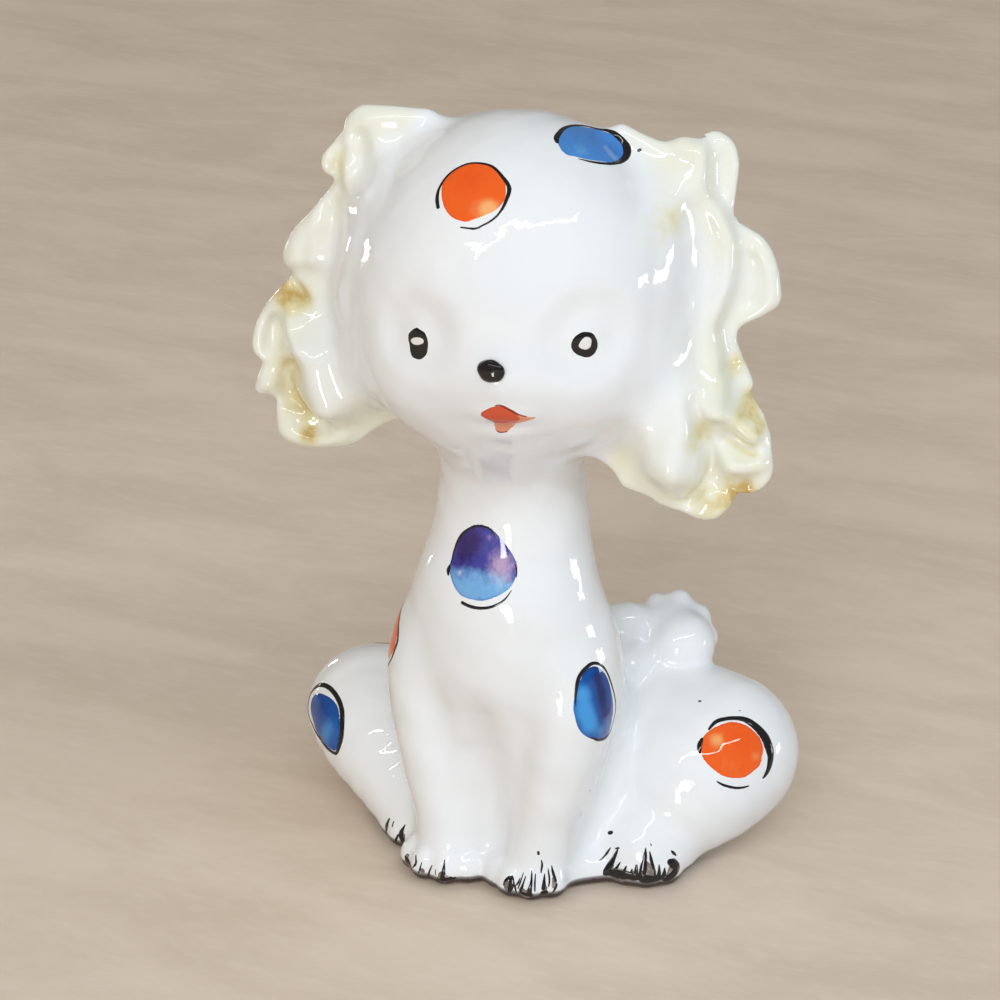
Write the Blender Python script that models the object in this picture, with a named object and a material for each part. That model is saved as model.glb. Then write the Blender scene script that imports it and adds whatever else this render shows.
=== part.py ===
"""Sitting porcelain poodle: a hollow body and head, pressed legs, ruffled ears and a pompom tail.

The dog faces -Y, its left side is +X and +Z is up. The origin is on the table, straight below
the neck. Each object is one casting or pressing, shaped as it is before the pieces are stuck
together with slip and glazed over, so every seat is cut to the shape of the piece it sits on.
"""

import math

import bmesh
import bpy
from mathutils import Matrix, Vector

MM = 0.001

# Walls, seats and openings
SLIP_GAP = 0.3 * MM
BODY_WALL = 2.8 * MM
BODY_FLOOR = 3.0 * MM
HEAD_WALL = 3.0 * MM
DRAIN_HOLE_RADIUS = 5.5 * MM
DRAIN_HOLE_BACK = 8.5 * MM
SPIGOT_DEPTH = 4.4 * MM

# Torso and neck, from the base up: height, centre towards the back, half width, half depth
TORSO = (
    (0.0 * MM, 7.5 * MM, 14.0 * MM, 15.5 * MM),
    (10.0 * MM, 6.0 * MM, 13.7 * MM, 15.0 * MM),
    (20.0 * MM, 3.2 * MM, 12.6 * MM, 13.5 * MM),
    (29.0 * MM, -0.5 * MM, 12.8 * MM, 12.0 * MM),
    (34.0 * MM, -2.0 * MM, 12.3 * MM, 10.6 * MM),
    (39.5 * MM, -2.3 * MM, 10.8 * MM, 9.8 * MM),
    (45.0 * MM, -1.2 * MM, 9.3 * MM, 8.7 * MM),
    (50.0 * MM, -0.3 * MM, 8.3 * MM, 8.1 * MM),
    (56.0 * MM, -0.5 * MM, 7.6 * MM, 7.6 * MM),
    (61.0 * MM, -0.8 * MM, 7.2 * MM, 7.2 * MM),
)

# Forelegs, from the shoulder down: height, out from the middle, centre back, half width, half depth
FORELEG = (
    (38.0 * MM, 6.2 * MM, -2.0 * MM, 2.6 * MM, 4.0 * MM),
    (33.0 * MM, 7.8 * MM, -2.6 * MM, 5.0 * MM, 6.4 * MM),
    (27.0 * MM, 8.8 * MM, -3.2 * MM, 5.6 * MM, 7.4 * MM),
    (20.0 * MM, 8.5 * MM, -4.2 * MM, 5.2 * MM, 6.8 * MM),
    (13.0 * MM, 7.4 * MM, -4.8 * MM, 4.7 * MM, 6.0 * MM),
    (7.0 * MM, 6.1 * MM, -5.3 * MM, 4.4 * MM, 5.3 * MM),
    (3.4 * MM, 5.4 * MM, -5.6 * MM, 4.8 * MM, 5.4 * MM),
    (1.4 * MM, 5.3 * MM, -5.7 * MM, 4.8 * MM, 5.4 * MM),
    (0.0 * MM, 5.3 * MM, -5.7 * MM, 4.4 * MM, 5.0 * MM),
)

# Hind legs, from the paw to the haunch: back, out from the torso's side, height, radius.
# The hips are twisted a little, so the right leg lies further forward than the left.
RIGHT_HIND_LEG = (
    (-1.0 * MM, -2.5 * MM, 2.6 * MM, 5.2 * MM),
    (1.6 * MM, 1.6 * MM, 4.8 * MM, 6.0 * MM),
    (5.6 * MM, 7.2 * MM, 8.4 * MM, 8.2 * MM),
    (8.8 * MM, 9.6 * MM, 9.4 * MM, 8.8 * MM),
)
LEFT_HIND_LEG = (
    (1.6 * MM, 2.5 * MM, 2.8 * MM, 5.8 * MM),
    (5.5 * MM, 4.3 * MM, 6.0 * MM, 6.6 * MM),
    (10.5 * MM, 6.9 * MM, 10.2 * MM, 9.6 * MM),
    (13.5 * MM, 8.2 * MM, 11.2 * MM, 9.8 * MM),
)

# Hips, which fill the corner between haunch and rump: out from the torso's side, back, height, radius
RIGHT_HIP = (0.6 * MM, 12.6 * MM, 12.0 * MM, 8.2 * MM)
LEFT_HIP = (0.6 * MM, 15.6 * MM, 12.6 * MM, 8.4 * MM)

# Tail: the stem runs from the rump into the pompom's side
TAIL_ROOT_HEIGHT = 24.5 * MM
TAIL_ROOT_SIDE = 4.0 * MM
TAIL_STEM_RISE = 1.6 * MM
TAIL_STEM_RADIUS = 2.6 * MM
TAIL_SEAT_DEPTH = 2.4 * MM
POMPOM_SIDE = 13.6 * MM
POMPOM_BACK = 20.6 * MM
POMPOM_HEIGHT = 22.4 * MM
POMPOM_RADIUS = 5.7 * MM
POMPOM_LUMP = 0.5 * MM

# Head, set on the neck and turned towards the dog's left
HEAD_SIDE = 0.75 * MM
HEAD_BACK = -1.9 * MM
HEAD_HALF_WIDTH = 18.9 * MM
HEAD_HALF_DEPTH = 18.1 * MM
HEAD_HALF_HEIGHT = 19.6 * MM
HEAD_TURN = math.radians(14.0)
CROWN_POWER = 2.0
CHEEK_POWER = 2.35
FACE_FADE = 8.0 * MM
MUZZLE_DROP = 5.2 * MM
MUZZLE_RISE = 1.8 * MM
MUZZLE_SPREAD = 6.5 * MM
EYE_OUT = 9.2 * MM
EYE_SHIFT = 0.6 * MM
EYE_DROP = 0.4 * MM
EYE_SOCKET_DEPTH = 1.1 * MM
EYE_SOCKET_RADIUS = 4.5 * MM
BROW_DROP = 1.0 * MM
BROW_DEPTH = 0.45 * MM
BROW_HALF_WIDTH = 15.0 * MM
BROW_HALF_HEIGHT = 3.6 * MM
CHEEK_OUT = 12.2 * MM
CHEEK_DROP = 9.0 * MM
CHEEK_RISE = 0.5 * MM
CHEEK_SPREAD = 5.5 * MM
# The throat under the chin, down into the neck: out, back, drop below the neck's top, radius
THROAT = (
    (1.0 * MM, -6.6 * MM, -1.5 * MM, 6.4 * MM),
    (0.4 * MM, -3.4 * MM, 4.5 * MM, 6.2 * MM),
    (0.0 * MM, -1.2 * MM, 11.0 * MM, 6.6 * MM),
)
NOSE_DROP = 3.0 * MM
NOSE_HALF_WIDTH = 1.7 * MM
NOSE_HALF_HEIGHT = 1.4 * MM
NOSE_RISE = 0.9 * MM

# Ear frills, point by point down from the crown: the angle above the ear's level line in
# degrees, the reach beyond the skull, and the set back from the head's middle
EAR_ROOT_DEPTH = 2.0 * MM
FRILL_ROOT_THICKNESS = 4.4 * MM
FRILL_RIM_THICKNESS = 1.6 * MM
FRILL_OVERLAP = 1.5 * MM
RIGHT_FRILL_ANGLES = (
    70.0, 57.0, 46.0, 31.0, 25.0, 7.0, -1.0, -16.0, -22.5, -27.5, -32.5, -38.0, -47.0, -52.0, -56.0,
)
RIGHT_FRILL_REACH = (
    0.9 * MM, 3.6 * MM, 6.6 * MM, 6.4 * MM, 4.0 * MM, 8.1 * MM, 6.3 * MM, 12.3 * MM, 11.6 * MM,
    14.2 * MM, 12.4 * MM, 14.2 * MM, 10.4 * MM, 6.2 * MM, 2.0 * MM,
)
RIGHT_FRILL_BACK = (
    2.0 * MM, 2.5 * MM, 3.0 * MM, 2.0 * MM, -0.5 * MM, 2.5 * MM, -1.0 * MM, 3.5 * MM, 0.0 * MM,
    3.0 * MM, 0.0 * MM, 2.0 * MM, 0.0 * MM, 0.0 * MM, 0.0 * MM,
)
LEFT_FRILL_ANGLES = (
    64.0, 55.0, 46.0, 36.0, 27.0, 20.5, 8.0, 1.0, -9.5, -20.0, -25.0, -32.0, -38.0, -47.0, -54.0,
    -62.0, -67.0,
)
LEFT_FRILL_REACH = (
    0.8 * MM, 2.2 * MM, 3.6 * MM, 8.6 * MM, 8.0 * MM, 6.6 * MM, 10.0 * MM, 11.0 * MM, 7.2 * MM,
    10.6 * MM, 12.8 * MM, 16.4 * MM, 16.2 * MM, 13.8 * MM, 9.0 * MM, 4.6 * MM, 2.0 * MM,
)
LEFT_FRILL_BACK = (
    1.5 * MM, 2.0 * MM, 2.5 * MM, 3.5 * MM, 2.5 * MM, 0.0 * MM, 3.5 * MM, 3.0 * MM, -2.0 * MM,
    1.0 * MM, -2.5 * MM, -3.0 * MM, -6.0 * MM, -6.0 * MM, -8.0 * MM, -8.0 * MM, -8.0 * MM,
)

# Ear flaps, point by point down from the temple: as the frills, and half the flap's thickness
FLAP_ROOT_DEPTH = 6.5 * MM
RIGHT_FLAP_ANGLES = (24.0, 8.0, -12.0, -30.0, -43.0, -51.0)
RIGHT_FLAP_REACH = (0.4 * MM, 3.0 * MM, 5.4 * MM, 8.2 * MM, 6.6 * MM, 2.4 * MM)
RIGHT_FLAP_BACK = (0.6 * MM, -0.2 * MM, -0.6 * MM, -1.0 * MM, -1.0 * MM, -0.8 * MM)
RIGHT_FLAP_HALF = (2.6 * MM, 4.0 * MM, 4.4 * MM, 4.4 * MM, 3.6 * MM, 2.0 * MM)
LEFT_FLAP_ANGLES = (20.0, 4.0, -15.0, -33.0, -47.0, -60.0)
LEFT_FLAP_REACH = (0.4 * MM, 3.2 * MM, 5.6 * MM, 9.6 * MM, 9.4 * MM, 3.0 * MM)
LEFT_FLAP_BACK = (0.2 * MM, -1.0 * MM, -2.6 * MM, -5.0 * MM, -6.8 * MM, -7.6 * MM)
LEFT_FLAP_HALF = (2.6 * MM, 4.0 * MM, 4.4 * MM, 4.4 * MM, 3.8 * MM, 2.0 * MM)

# The same ears as rows, one for each point
RIGHT_FRILL = tuple(zip(RIGHT_FRILL_ANGLES, RIGHT_FRILL_REACH, RIGHT_FRILL_BACK))
LEFT_FRILL = tuple(zip(LEFT_FRILL_ANGLES, LEFT_FRILL_REACH, LEFT_FRILL_BACK))
RIGHT_FLAP = tuple(zip(RIGHT_FLAP_ANGLES, RIGHT_FLAP_REACH, RIGHT_FLAP_BACK, RIGHT_FLAP_HALF))
LEFT_FLAP = tuple(zip(LEFT_FLAP_ANGLES, LEFT_FLAP_REACH, LEFT_FLAP_BACK, LEFT_FLAP_HALF))

# Facets round and along each form
TORSO_SIDES, TORSO_RINGS = 28, 24
BELLY_SIDES, BELLY_RINGS = 20, 14
HEAD_SIDES, HEAD_RINGS = 48, 28
THROAT_SIDES = 16
HOLLOW_SIDES, HOLLOW_RINGS = 20, 12
FORELEG_SIDES, FORELEG_RINGS = 14, 14
HIND_LEG_SIDES, HIND_LEG_RINGS = 18, 8
HIP_SIDES, HIP_RINGS = 18, 11
STEM_SIDES, STEM_RINGS = 10, 6
POMPOM_SIDES, POMPOM_RINGS = 22, 12
NOSE_SIDES, NOSE_RINGS = 12, 8
FRILL_RINGS = 54
FLAP_SIDES, FLAP_RINGS = 12, 12
HOLE_SIDES = 24

GLAZE_WHITE = (0.86, 0.87, 0.88)
GLAZE_CREAM = (0.84, 0.85, 0.68)
NOSE_BLACK = (0.02, 0.018, 0.018)


def clear_scene():
    for thing in list(bpy.data.objects):
        bpy.data.objects.remove(thing, do_unlink=True)


def make_material(name, color, roughness=0.12):
    material = bpy.data.materials.new(name)
    material.use_nodes = True
    shader = material.node_tree.nodes["Principled BSDF"]
    shader.inputs["Base Color"].default_value = (*color, 1.0)
    shader.inputs["Roughness"].default_value = roughness
    shader.inputs["Metallic"].default_value = 0.0
    return material


def slope(rows, i, column):
    """How fast a column changes with the first one at row i."""
    before = rows[max(i - 1, 0)]
    after = rows[min(i + 1, len(rows) - 1)]
    return (after[column] - before[column]) / (after[0] - before[0])


def row_at(rows, key):
    """The row of the smooth curve through rows whose first value is key."""
    low, high = sorted((rows[0][0], rows[-1][0]))
    key = min(max(key, low), high)
    start = 0
    while start < len(rows) - 2 and (key - rows[start + 1][0]) * (rows[-1][0] - rows[0][0]) > 0:
        start += 1
    span = rows[start + 1][0] - rows[start][0]
    part = (key - rows[start][0]) / span
    row = [key]
    for column in range(1, len(rows[0])):
        first = rows[start][column]
        second = rows[start + 1][column]
        lead = slope(rows, start, column) * span
        tail = slope(rows, start + 1, column) * span
        bend = 3 * (second - first) - 2 * lead - tail
        twist = lead + tail - 2 * (second - first)
        row.append(first + part * (lead + part * (bend + part * twist)))
    return tuple(row)


def smooth_rows(rows, count):
    """Rows at even steps of the first value along the smooth curve through rows."""
    first, last = rows[0][0], rows[-1][0]
    return [row_at(rows, first + (last - first) * i / (count - 1)) for i in range(count)]


def shell(name, rings, start_pole=None, end_pole=None):
    """A closed skin over rings of equal count, each end flat or drawn to a pole."""
    mesh = bmesh.new()
    loops = [[mesh.verts.new(point) for point in ring] for ring in rings]
    sides = len(loops[0])
    for lower, upper in zip(loops, loops[1:]):
        for i in range(sides):
            j = (i + 1) % sides
            mesh.faces.new((lower[i], lower[j], upper[j], upper[i]))
    for loop, pole in ((loops[0], start_pole), (loops[-1], end_pole)):
        if pole is None:
            mesh.faces.new(loop)
            continue
        tip = mesh.verts.new(pole)
        for i in range(sides):
            mesh.faces.new((loop[i], loop[(i + 1) % sides], tip))
    bmesh.ops.recalc_face_normals(mesh, faces=mesh.faces)
    data = bpy.data.meshes.new(name)
    mesh.to_mesh(data)
    mesh.free()
    data.shade_smooth()
    piece = bpy.data.objects.new(name, data)
    bpy.context.scene.collection.objects.link(piece)
    return piece


def level_ring(center_x, center_y, height, half_width, half_depth, sides):
    ring = []
    for i in range(sides):
        angle = 2 * math.pi * i / sides
        x = center_x + half_width * math.cos(angle)
        y = center_y + half_depth * math.sin(angle)
        ring.append(Vector((x, y, height)))
    return ring


def hide_cutter(piece):
    piece.hide_render = True
    piece.display_type = "WIRE"
    return piece


def cut(piece, *cutters):
    for cutter in cutters:
        seat = piece.modifiers.new("cut_" + cutter.name, "BOOLEAN")
        seat.operation = "DIFFERENCE"
        seat.solver = "EXACT"
        seat.object = cutter


def join(piece, other):
    union = piece.modifiers.new("join_" + other.name, "BOOLEAN")
    union.operation = "UNION"
    union.solver = "EXACT"
    union.object = other


def torso_form(name, grow=0.0, low=0.0, rise=0.0, facets=(TORSO_SIDES, TORSO_RINGS)):
    """Torso and neck, grown or shrunk all round, from height low to the neck's top plus rise."""
    top = TORSO[-1][0]
    rings = []
    for height, back, half_width, half_depth in smooth_rows(TORSO, facets[1]):
        if height > low:
            rings.append((height, back, half_width, half_depth))
    rings.insert(0, (low, *row_at(TORSO, max(low, 0.0))[1:]))
    if rise:
        rings.append((top + rise, *TORSO[-1][1:]))
    loops = []
    for height, back, half_width, half_depth in rings:
        loops.append(level_ring(0.0, back, height, half_width + grow, half_depth + grow, facets[0]))
    return shell(name, loops)


def foreleg_form(name, side, grow=0.0):
    loops = []
    for height, out, back, half_width, half_depth in smooth_rows(FORELEG, FORELEG_RINGS):
        ring = level_ring(side * out, back, height, half_width + grow, half_depth + grow, FORELEG_SIDES)
        loops.append(ring)
    return shell(name, loops)


def limb_loops(path, sides, cap_rings=4):
    """Round rings square to a path of (point, radius), with a rounded cap at each end."""
    points = [Vector(point) for point, _ in path]
    radii = [radius for _, radius in path]
    loops = []
    last = len(points) - 1
    for i, center in enumerate(points):
        along = (points[min(i + 1, last)] - points[max(i - 1, 0)]).normalized()
        across = along.cross(Vector((0, 0, 1))).normalized()
        up = across.cross(along)
        turns = [(0.0, 1.0)]
        if i in (0, last):
            turns = [(-math.cos(a), math.sin(a)) for a in cap_angles(cap_rings, i == last)]
        for lead, share in turns:
            middle = center + along * lead * radii[i]
            ring = []
            for k in range(sides):
                angle = 2 * math.pi * k / sides
                spoke = across * math.cos(angle) + up * math.sin(angle)
                ring.append(middle + spoke * radii[i] * share)
            loops.append(ring)
    first_along = (points[1] - points[0]).normalized()
    last_along = (points[-1] - points[-2]).normalized()
    poles = (points[0] - first_along * radii[0], points[-1] + last_along * radii[-1])
    return loops, poles


def cap_angles(rings, at_end):
    step = math.pi / 2 / rings
    if at_end:
        return [math.pi / 2 + step * k for k in range(rings)]
    return [step * (k + 1) for k in range(rings)]


def ball_form(name, center, radius_at, sides, rings):
    """A closed ball about center whose radius follows its direction."""
    loops = []
    for i in range(1, rings):
        tilt = math.pi * i / rings
        ring = []
        for k in range(sides):
            angle = 2 * math.pi * k / sides
            way = Vector((math.sin(tilt) * math.cos(angle), math.sin(tilt) * math.sin(angle), math.cos(tilt)))
            ring.append(center + way * radius_at(way))
        loops.append(ring)
    top = Vector((0, 0, 1))
    poles = (center + top * radius_at(top), center - top * radius_at(-top))
    return shell(name, loops, *poles)


def hind_leg_form(name, side, grow=0.0):
    """Paw and haunch along the leg's path, joined to the round hip behind them."""
    leg_rows, hip_row = (RIGHT_HIND_LEG, RIGHT_HIP) if side < 0 else (LEFT_HIND_LEG, LEFT_HIP)
    path = []
    for back, out, height, radius in smooth_rows(leg_rows, HIND_LEG_RINGS):
        torso_side = row_at(TORSO, height)[2]
        path.append(((side * (torso_side + out), back, height), radius + grow))
    loops, poles = limb_loops(path, HIND_LEG_SIDES)
    leg = shell(name, loops, *poles)
    out, back, height, radius = hip_row
    hip_center = Vector((side * (row_at(TORSO, height)[2] + out), back, height))
    hip = ball_form(name + "_hip", hip_center, lambda way: radius + grow, HIP_SIDES, HIP_RINGS)
    join(leg, hide_cutter(hip))
    return leg


def tail_root():
    _, back, half_width, half_depth = row_at(TORSO, TAIL_ROOT_HEIGHT)
    slope = math.sqrt(1 - (TAIL_ROOT_SIDE / half_width) ** 2)
    return Vector((TAIL_ROOT_SIDE, back + half_depth * slope, TAIL_ROOT_HEIGHT))


def tail_stem_form(name, grow=0.0):
    root = tail_root()
    pompom = Vector((POMPOM_SIDE, POMPOM_BACK, POMPOM_HEIGHT))
    tip = pompom + (root - pompom).normalized() * (POMPOM_RADIUS - TAIL_SEAT_DEPTH + TAIL_STEM_RADIUS)
    path = []
    for step in range(STEM_RINGS):
        share = step / (STEM_RINGS - 1)
        point = root.lerp(tip, share)
        point.z += TAIL_STEM_RISE * math.sin(math.pi * share)
        path.append((point, TAIL_STEM_RADIUS + grow))
    loops, poles = limb_loops(path, STEM_SIDES)
    return shell(name, loops, *poles)


def pompom_form(name):
    def radius_at(way):
        around = math.sin(5 * math.atan2(way.y, way.x) + 3 * way.z)
        over = math.cos(7 * way.z + 1.0)
        return POMPOM_RADIUS + POMPOM_LUMP * around * over

    center = Vector((POMPOM_SIDE, POMPOM_BACK, POMPOM_HEIGHT))
    return ball_form(name, center, radius_at, POMPOM_SIDES, POMPOM_RINGS)


def skull_radius(way, grow=0.0):
    """Distance from the head's centre to its surface in the direction way."""
    fullness = min(max(0.5 - way.z, 0.0), 1.0)
    power = CROWN_POWER + (CHEEK_POWER - CROWN_POWER) * fullness
    total = abs(way.x / (HEAD_HALF_WIDTH + grow)) ** power
    total += abs(way.y / (HEAD_HALF_DEPTH + grow)) ** power
    total += abs(way.z / (HEAD_HALF_HEIGHT + grow)) ** power
    return total ** (-1 / power)


def face_relief(way):
    """Height of the muzzle and cheeks, and depth of the brow and eye sockets, in the direction way."""
    point = way * skull_radius(way)
    fade = min(max(-point.y / FACE_FADE, 0.0), 1.0)
    off_muzzle = math.hypot(point.x, point.z + MUZZLE_DROP)
    relief = MUZZLE_RISE * math.exp(-((off_muzzle / MUZZLE_SPREAD) ** 2))
    off_brow = math.hypot(point.x / BROW_HALF_WIDTH, (point.z + BROW_DROP) / BROW_HALF_HEIGHT)
    relief -= BROW_DEPTH * math.exp(-(off_brow**2))
    for side in (-1, 1):
        off_eye = math.hypot(point.x - side * EYE_OUT - EYE_SHIFT, point.z + EYE_DROP)
        relief -= EYE_SOCKET_DEPTH * math.exp(-((off_eye / EYE_SOCKET_RADIUS) ** 4))
        off_cheek = math.hypot(point.x - side * CHEEK_OUT, point.z + CHEEK_DROP)
        relief += CHEEK_RISE * math.exp(-((off_cheek / CHEEK_SPREAD) ** 2))
    return relief * fade * fade * (3 - 2 * fade)


def head_form(name, grow=0.0, facets=(HEAD_SIDES, HEAD_RINGS)):
    def radius_at(way):
        return skull_radius(way, grow) + face_relief(way)

    return ball_form(name, Vector((0, 0, 0)), radius_at, *facets)


def throat_form(name):
    neck_top = TORSO[-1][0]
    path = [((out, back, neck_top - drop), radius) for out, back, drop, radius in THROAT]
    loops, poles = limb_loops(path, THROAT_SIDES)
    return shell(name, loops, *poles)


def head_point(side, angle, reach, back):
    """A point at the ear's angle, reach beyond the skull's outline and back from its middle."""
    way = Vector((side * math.cos(angle), 0.0, math.sin(angle)))
    return way * (skull_radius(way) + reach) + Vector((0, back, 0))


def flap_row(flap, angle):
    if not flap[-1][0] <= angle <= flap[0][0]:
        return None
    return row_at(flap, angle)


def frill_form(name, side, frill, flap):
    """The ruffled strip: a thin tongue from the skull or the flap's edge out to the wavy rim."""
    loops = []
    for angle, reach, back in smooth_rows(frill, FRILL_RINGS):
        root_reach = -EAR_ROOT_DEPTH
        root_back = 0.5 * back
        under = flap_row(flap, angle)
        if under:
            root_reach = max(root_reach, under[1] - FRILL_OVERLAP)
            root_back = under[2]
        turn = math.radians(angle)
        ring = []
        profile = ((0.0, -1), (0.45, -1), (0.85, -1), (1.0, 0), (0.85, 1), (0.45, 1), (0.0, 1))
        for share, face in profile:
            wave = share * share * (3 - 2 * share)
            thickness = FRILL_ROOT_THICKNESS + (FRILL_RIM_THICKNESS - FRILL_ROOT_THICKNESS) * share
            spread = root_reach + (reach - root_reach) * share
            depth = root_back + (back - root_back) * wave + face * thickness / 2
            ring.append(head_point(side, turn, spread, depth))
        loops.append(ring)
    return shell(name, loops)


def flap_form(name, side, flap, grow=0.0):
    loops = []
    for angle, reach, back, half_thick in smooth_rows(flap, FLAP_RINGS):
        turn = math.radians(angle)
        middle = (reach - FLAP_ROOT_DEPTH) / 2
        half_reach = (reach + FLAP_ROOT_DEPTH) / 2 + grow
        ring = []
        for k in range(FLAP_SIDES):
            around = 2 * math.pi * k / FLAP_SIDES
            spread = middle + half_reach * math.cos(around)
            depth = back + (half_thick + grow) * math.sin(around)
            ring.append(head_point(side, turn, spread, depth))
        loops.append(ring)
    poles = []
    for row, lead in ((flap[0], grow), (flap[-1], -grow)):
        turn = math.radians(row[0]) + lead / HEAD_HALF_HEIGHT + math.copysign(0.02, lead or 0.0)
        poles.append(head_point(side, turn, (row[1] - FLAP_ROOT_DEPTH) / 2, row[2]))
    return shell(name, loops, *poles)


def nose_form(name):
    way = Vector((0.0, -HEAD_HALF_DEPTH, -NOSE_DROP)).normalized()
    seat = skull_radius(way) + face_relief(way)

    def radius_at(spoke):
        total = (spoke.x / NOSE_HALF_WIDTH) ** 2 + (spoke.z / NOSE_HALF_HEIGHT) ** 2
        total += (spoke.y / (NOSE_RISE + SLIP_GAP)) ** 2
        return total ** -0.5

    return ball_form(name, way * seat, radius_at, NOSE_SIDES, NOSE_RINGS)


def cylinder_form(name, center, radius, low, high):
    loops = []
    for height in (low, high):
        loops.append(level_ring(center[0], center[1], height, radius, radius, HOLE_SIDES))
    return shell(name, loops)


def ground_form(name):
    """The table's space below the base, which trims the paws flat."""
    size = 2 * (HEAD_HALF_WIDTH + HEAD_HALF_DEPTH)
    rim = [(-size, -size), (size, -size), (size, size), (-size, size)]
    loops = [[Vector((x, y, height)) for x, y in rim] for height in (-size, 0.0)]
    return shell(name, loops)


def main():
    clear_scene()
    white = make_material("white_glaze", GLAZE_WHITE)
    cream = make_material("cream_glaze", GLAZE_CREAM)
    black = make_material("black_enamel", NOSE_BLACK)

    neck_top = TORSO[-1][0]
    head_height = neck_top - SPIGOT_DEPTH + HEAD_HALF_HEIGHT
    head_axis = bpy.data.objects.new("head_axis", None)
    bpy.context.scene.collection.objects.link(head_axis)
    head_axis.location = (HEAD_SIDE, HEAD_BACK, head_height)
    head_axis.rotation_euler = (0.0, 0.0, HEAD_TURN)

    body = torso_form("body_casting")
    head = head_form("head_casting")
    nose = nose_form("nose_button")
    stem = tail_stem_form("tail_stem")
    pompom = pompom_form("tail_pompom")
    body_seat = hide_cutter(torso_form("body_seat", SLIP_GAP, low=-BODY_FLOOR, rise=SLIP_GAP))
    head_seat = hide_cutter(head_form("head_seat", SLIP_GAP))
    stem_seat = hide_cutter(tail_stem_form("stem_seat", SLIP_GAP))
    ground = hide_cutter(ground_form("ground"))
    belly_facets = (BELLY_SIDES, BELLY_RINGS)
    body_cavity = torso_form("body_cavity", -BODY_WALL, BODY_FLOOR, BODY_WALL, belly_facets)
    head_cavity = head_form("head_cavity", -HEAD_WALL, (HOLLOW_SIDES, HOLLOW_RINGS))
    drain_place = (0.0, DRAIN_HOLE_BACK)
    drain = cylinder_form("drain_hole", drain_place, DRAIN_HOLE_RADIUS, -BODY_FLOOR, 2 * BODY_FLOOR)
    throat = throat_form("throat")
    for hidden in (body_cavity, head_cavity, drain, throat):
        hide_cutter(hidden)

    cut(body, body_cavity, drain)
    join(head, throat)
    cut(head, head_cavity, body_seat)
    cut(nose, head_seat)
    cut(stem, body_seat)
    in_head = [head, nose, head_seat, head_cavity]
    whites = [body, head, stem, pompom]
    creams = []

    hind_seats = {}
    for side, word in ((-1, "right"), (1, "left")):
        foreleg = foreleg_form(word + "_foreleg", side)
        hind_leg = hind_leg_form(word + "_hind_leg", side)
        foreleg_seat = hide_cutter(foreleg_form(word + "_foreleg_seat", side, SLIP_GAP))
        cut(foreleg, body_seat)
        cut(hind_leg, body_seat, foreleg_seat, ground)
        hind_seats[word] = hide_cutter(hind_leg_form(word + "_hind_leg_seat", side, SLIP_GAP))
        frill_rows, flap_rows = (RIGHT_FRILL, RIGHT_FLAP) if side < 0 else (LEFT_FRILL, LEFT_FLAP)
        flap = flap_form(word + "_ear_flap", side, flap_rows)
        frill = frill_form(word + "_ear_frill", side, frill_rows, flap_rows)
        flap_seat = hide_cutter(flap_form(word + "_ear_flap_seat", side, flap_rows, SLIP_GAP))
        join(flap_seat, head_seat)
        cut(flap, head_seat)
        cut(frill, flap_seat)
        in_head += [flap, frill, flap_seat]
        whites += [foreleg, hind_leg, flap]
        creams.append(frill)

    cut(stem, hind_seats["left"])
    join(stem_seat, hind_seats["left"])
    join(stem_seat, body_seat)
    cut(pompom, stem_seat)

    for piece in in_head:
        piece.parent = head_axis
        piece.matrix_parent_inverse = Matrix.Identity(4)
    for piece in whites:
        piece.data.materials.append(white)
    for piece in creams:
        piece.data.materials.append(cream)
    nose.data.materials.append(black)


main()
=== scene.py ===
"""Glazed porcelain poodle: modelled castings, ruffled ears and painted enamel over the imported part."""

import math
from functools import partial

import bpy
import numpy as np
import openvdb
from mathutils import Matrix, Vector


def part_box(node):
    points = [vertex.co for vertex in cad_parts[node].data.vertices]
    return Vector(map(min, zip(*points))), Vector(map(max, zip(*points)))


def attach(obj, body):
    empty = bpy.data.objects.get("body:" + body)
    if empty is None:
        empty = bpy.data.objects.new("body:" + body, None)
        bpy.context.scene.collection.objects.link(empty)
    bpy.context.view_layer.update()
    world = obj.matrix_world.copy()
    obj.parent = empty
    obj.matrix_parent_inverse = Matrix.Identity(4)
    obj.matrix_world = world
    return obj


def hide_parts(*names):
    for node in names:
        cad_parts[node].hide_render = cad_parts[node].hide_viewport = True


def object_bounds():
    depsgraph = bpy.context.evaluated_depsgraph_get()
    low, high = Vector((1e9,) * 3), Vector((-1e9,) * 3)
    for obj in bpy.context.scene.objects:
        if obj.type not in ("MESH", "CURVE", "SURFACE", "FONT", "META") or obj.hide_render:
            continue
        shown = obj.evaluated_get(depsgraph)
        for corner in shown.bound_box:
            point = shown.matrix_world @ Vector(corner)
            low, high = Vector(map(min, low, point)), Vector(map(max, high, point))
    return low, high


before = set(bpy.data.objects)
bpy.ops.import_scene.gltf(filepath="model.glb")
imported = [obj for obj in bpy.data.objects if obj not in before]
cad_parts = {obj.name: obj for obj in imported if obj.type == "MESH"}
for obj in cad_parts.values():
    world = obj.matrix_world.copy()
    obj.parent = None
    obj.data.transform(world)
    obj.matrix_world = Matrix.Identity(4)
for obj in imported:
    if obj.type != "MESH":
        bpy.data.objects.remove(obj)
CAD_BOX = [[float(v) for v in corner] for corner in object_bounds()]

# One millimetre of the figurine, from the height of its body casting, which is 61 mm
BODY_HEIGHT = 61.0
MM = (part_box("body_casting")[1][2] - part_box("body_casting")[0][2]) / BODY_HEIGHT

# Clay grid, the skins cut from it, and the distance that stands for open air, in mm
VOXEL = 0.42
SKIN_THICKNESS, FAR = 0.3, 40.0
BODY_WALL, BODY_FLOOR, HOLLOW_TOP = 2.8, 3.0, 36.0
DRAIN_HOLE_RADIUS, DRAIN_HOLE_BACK, DRAIN_HOLE_RISE = 5.5, 8.5, 1.0
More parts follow.
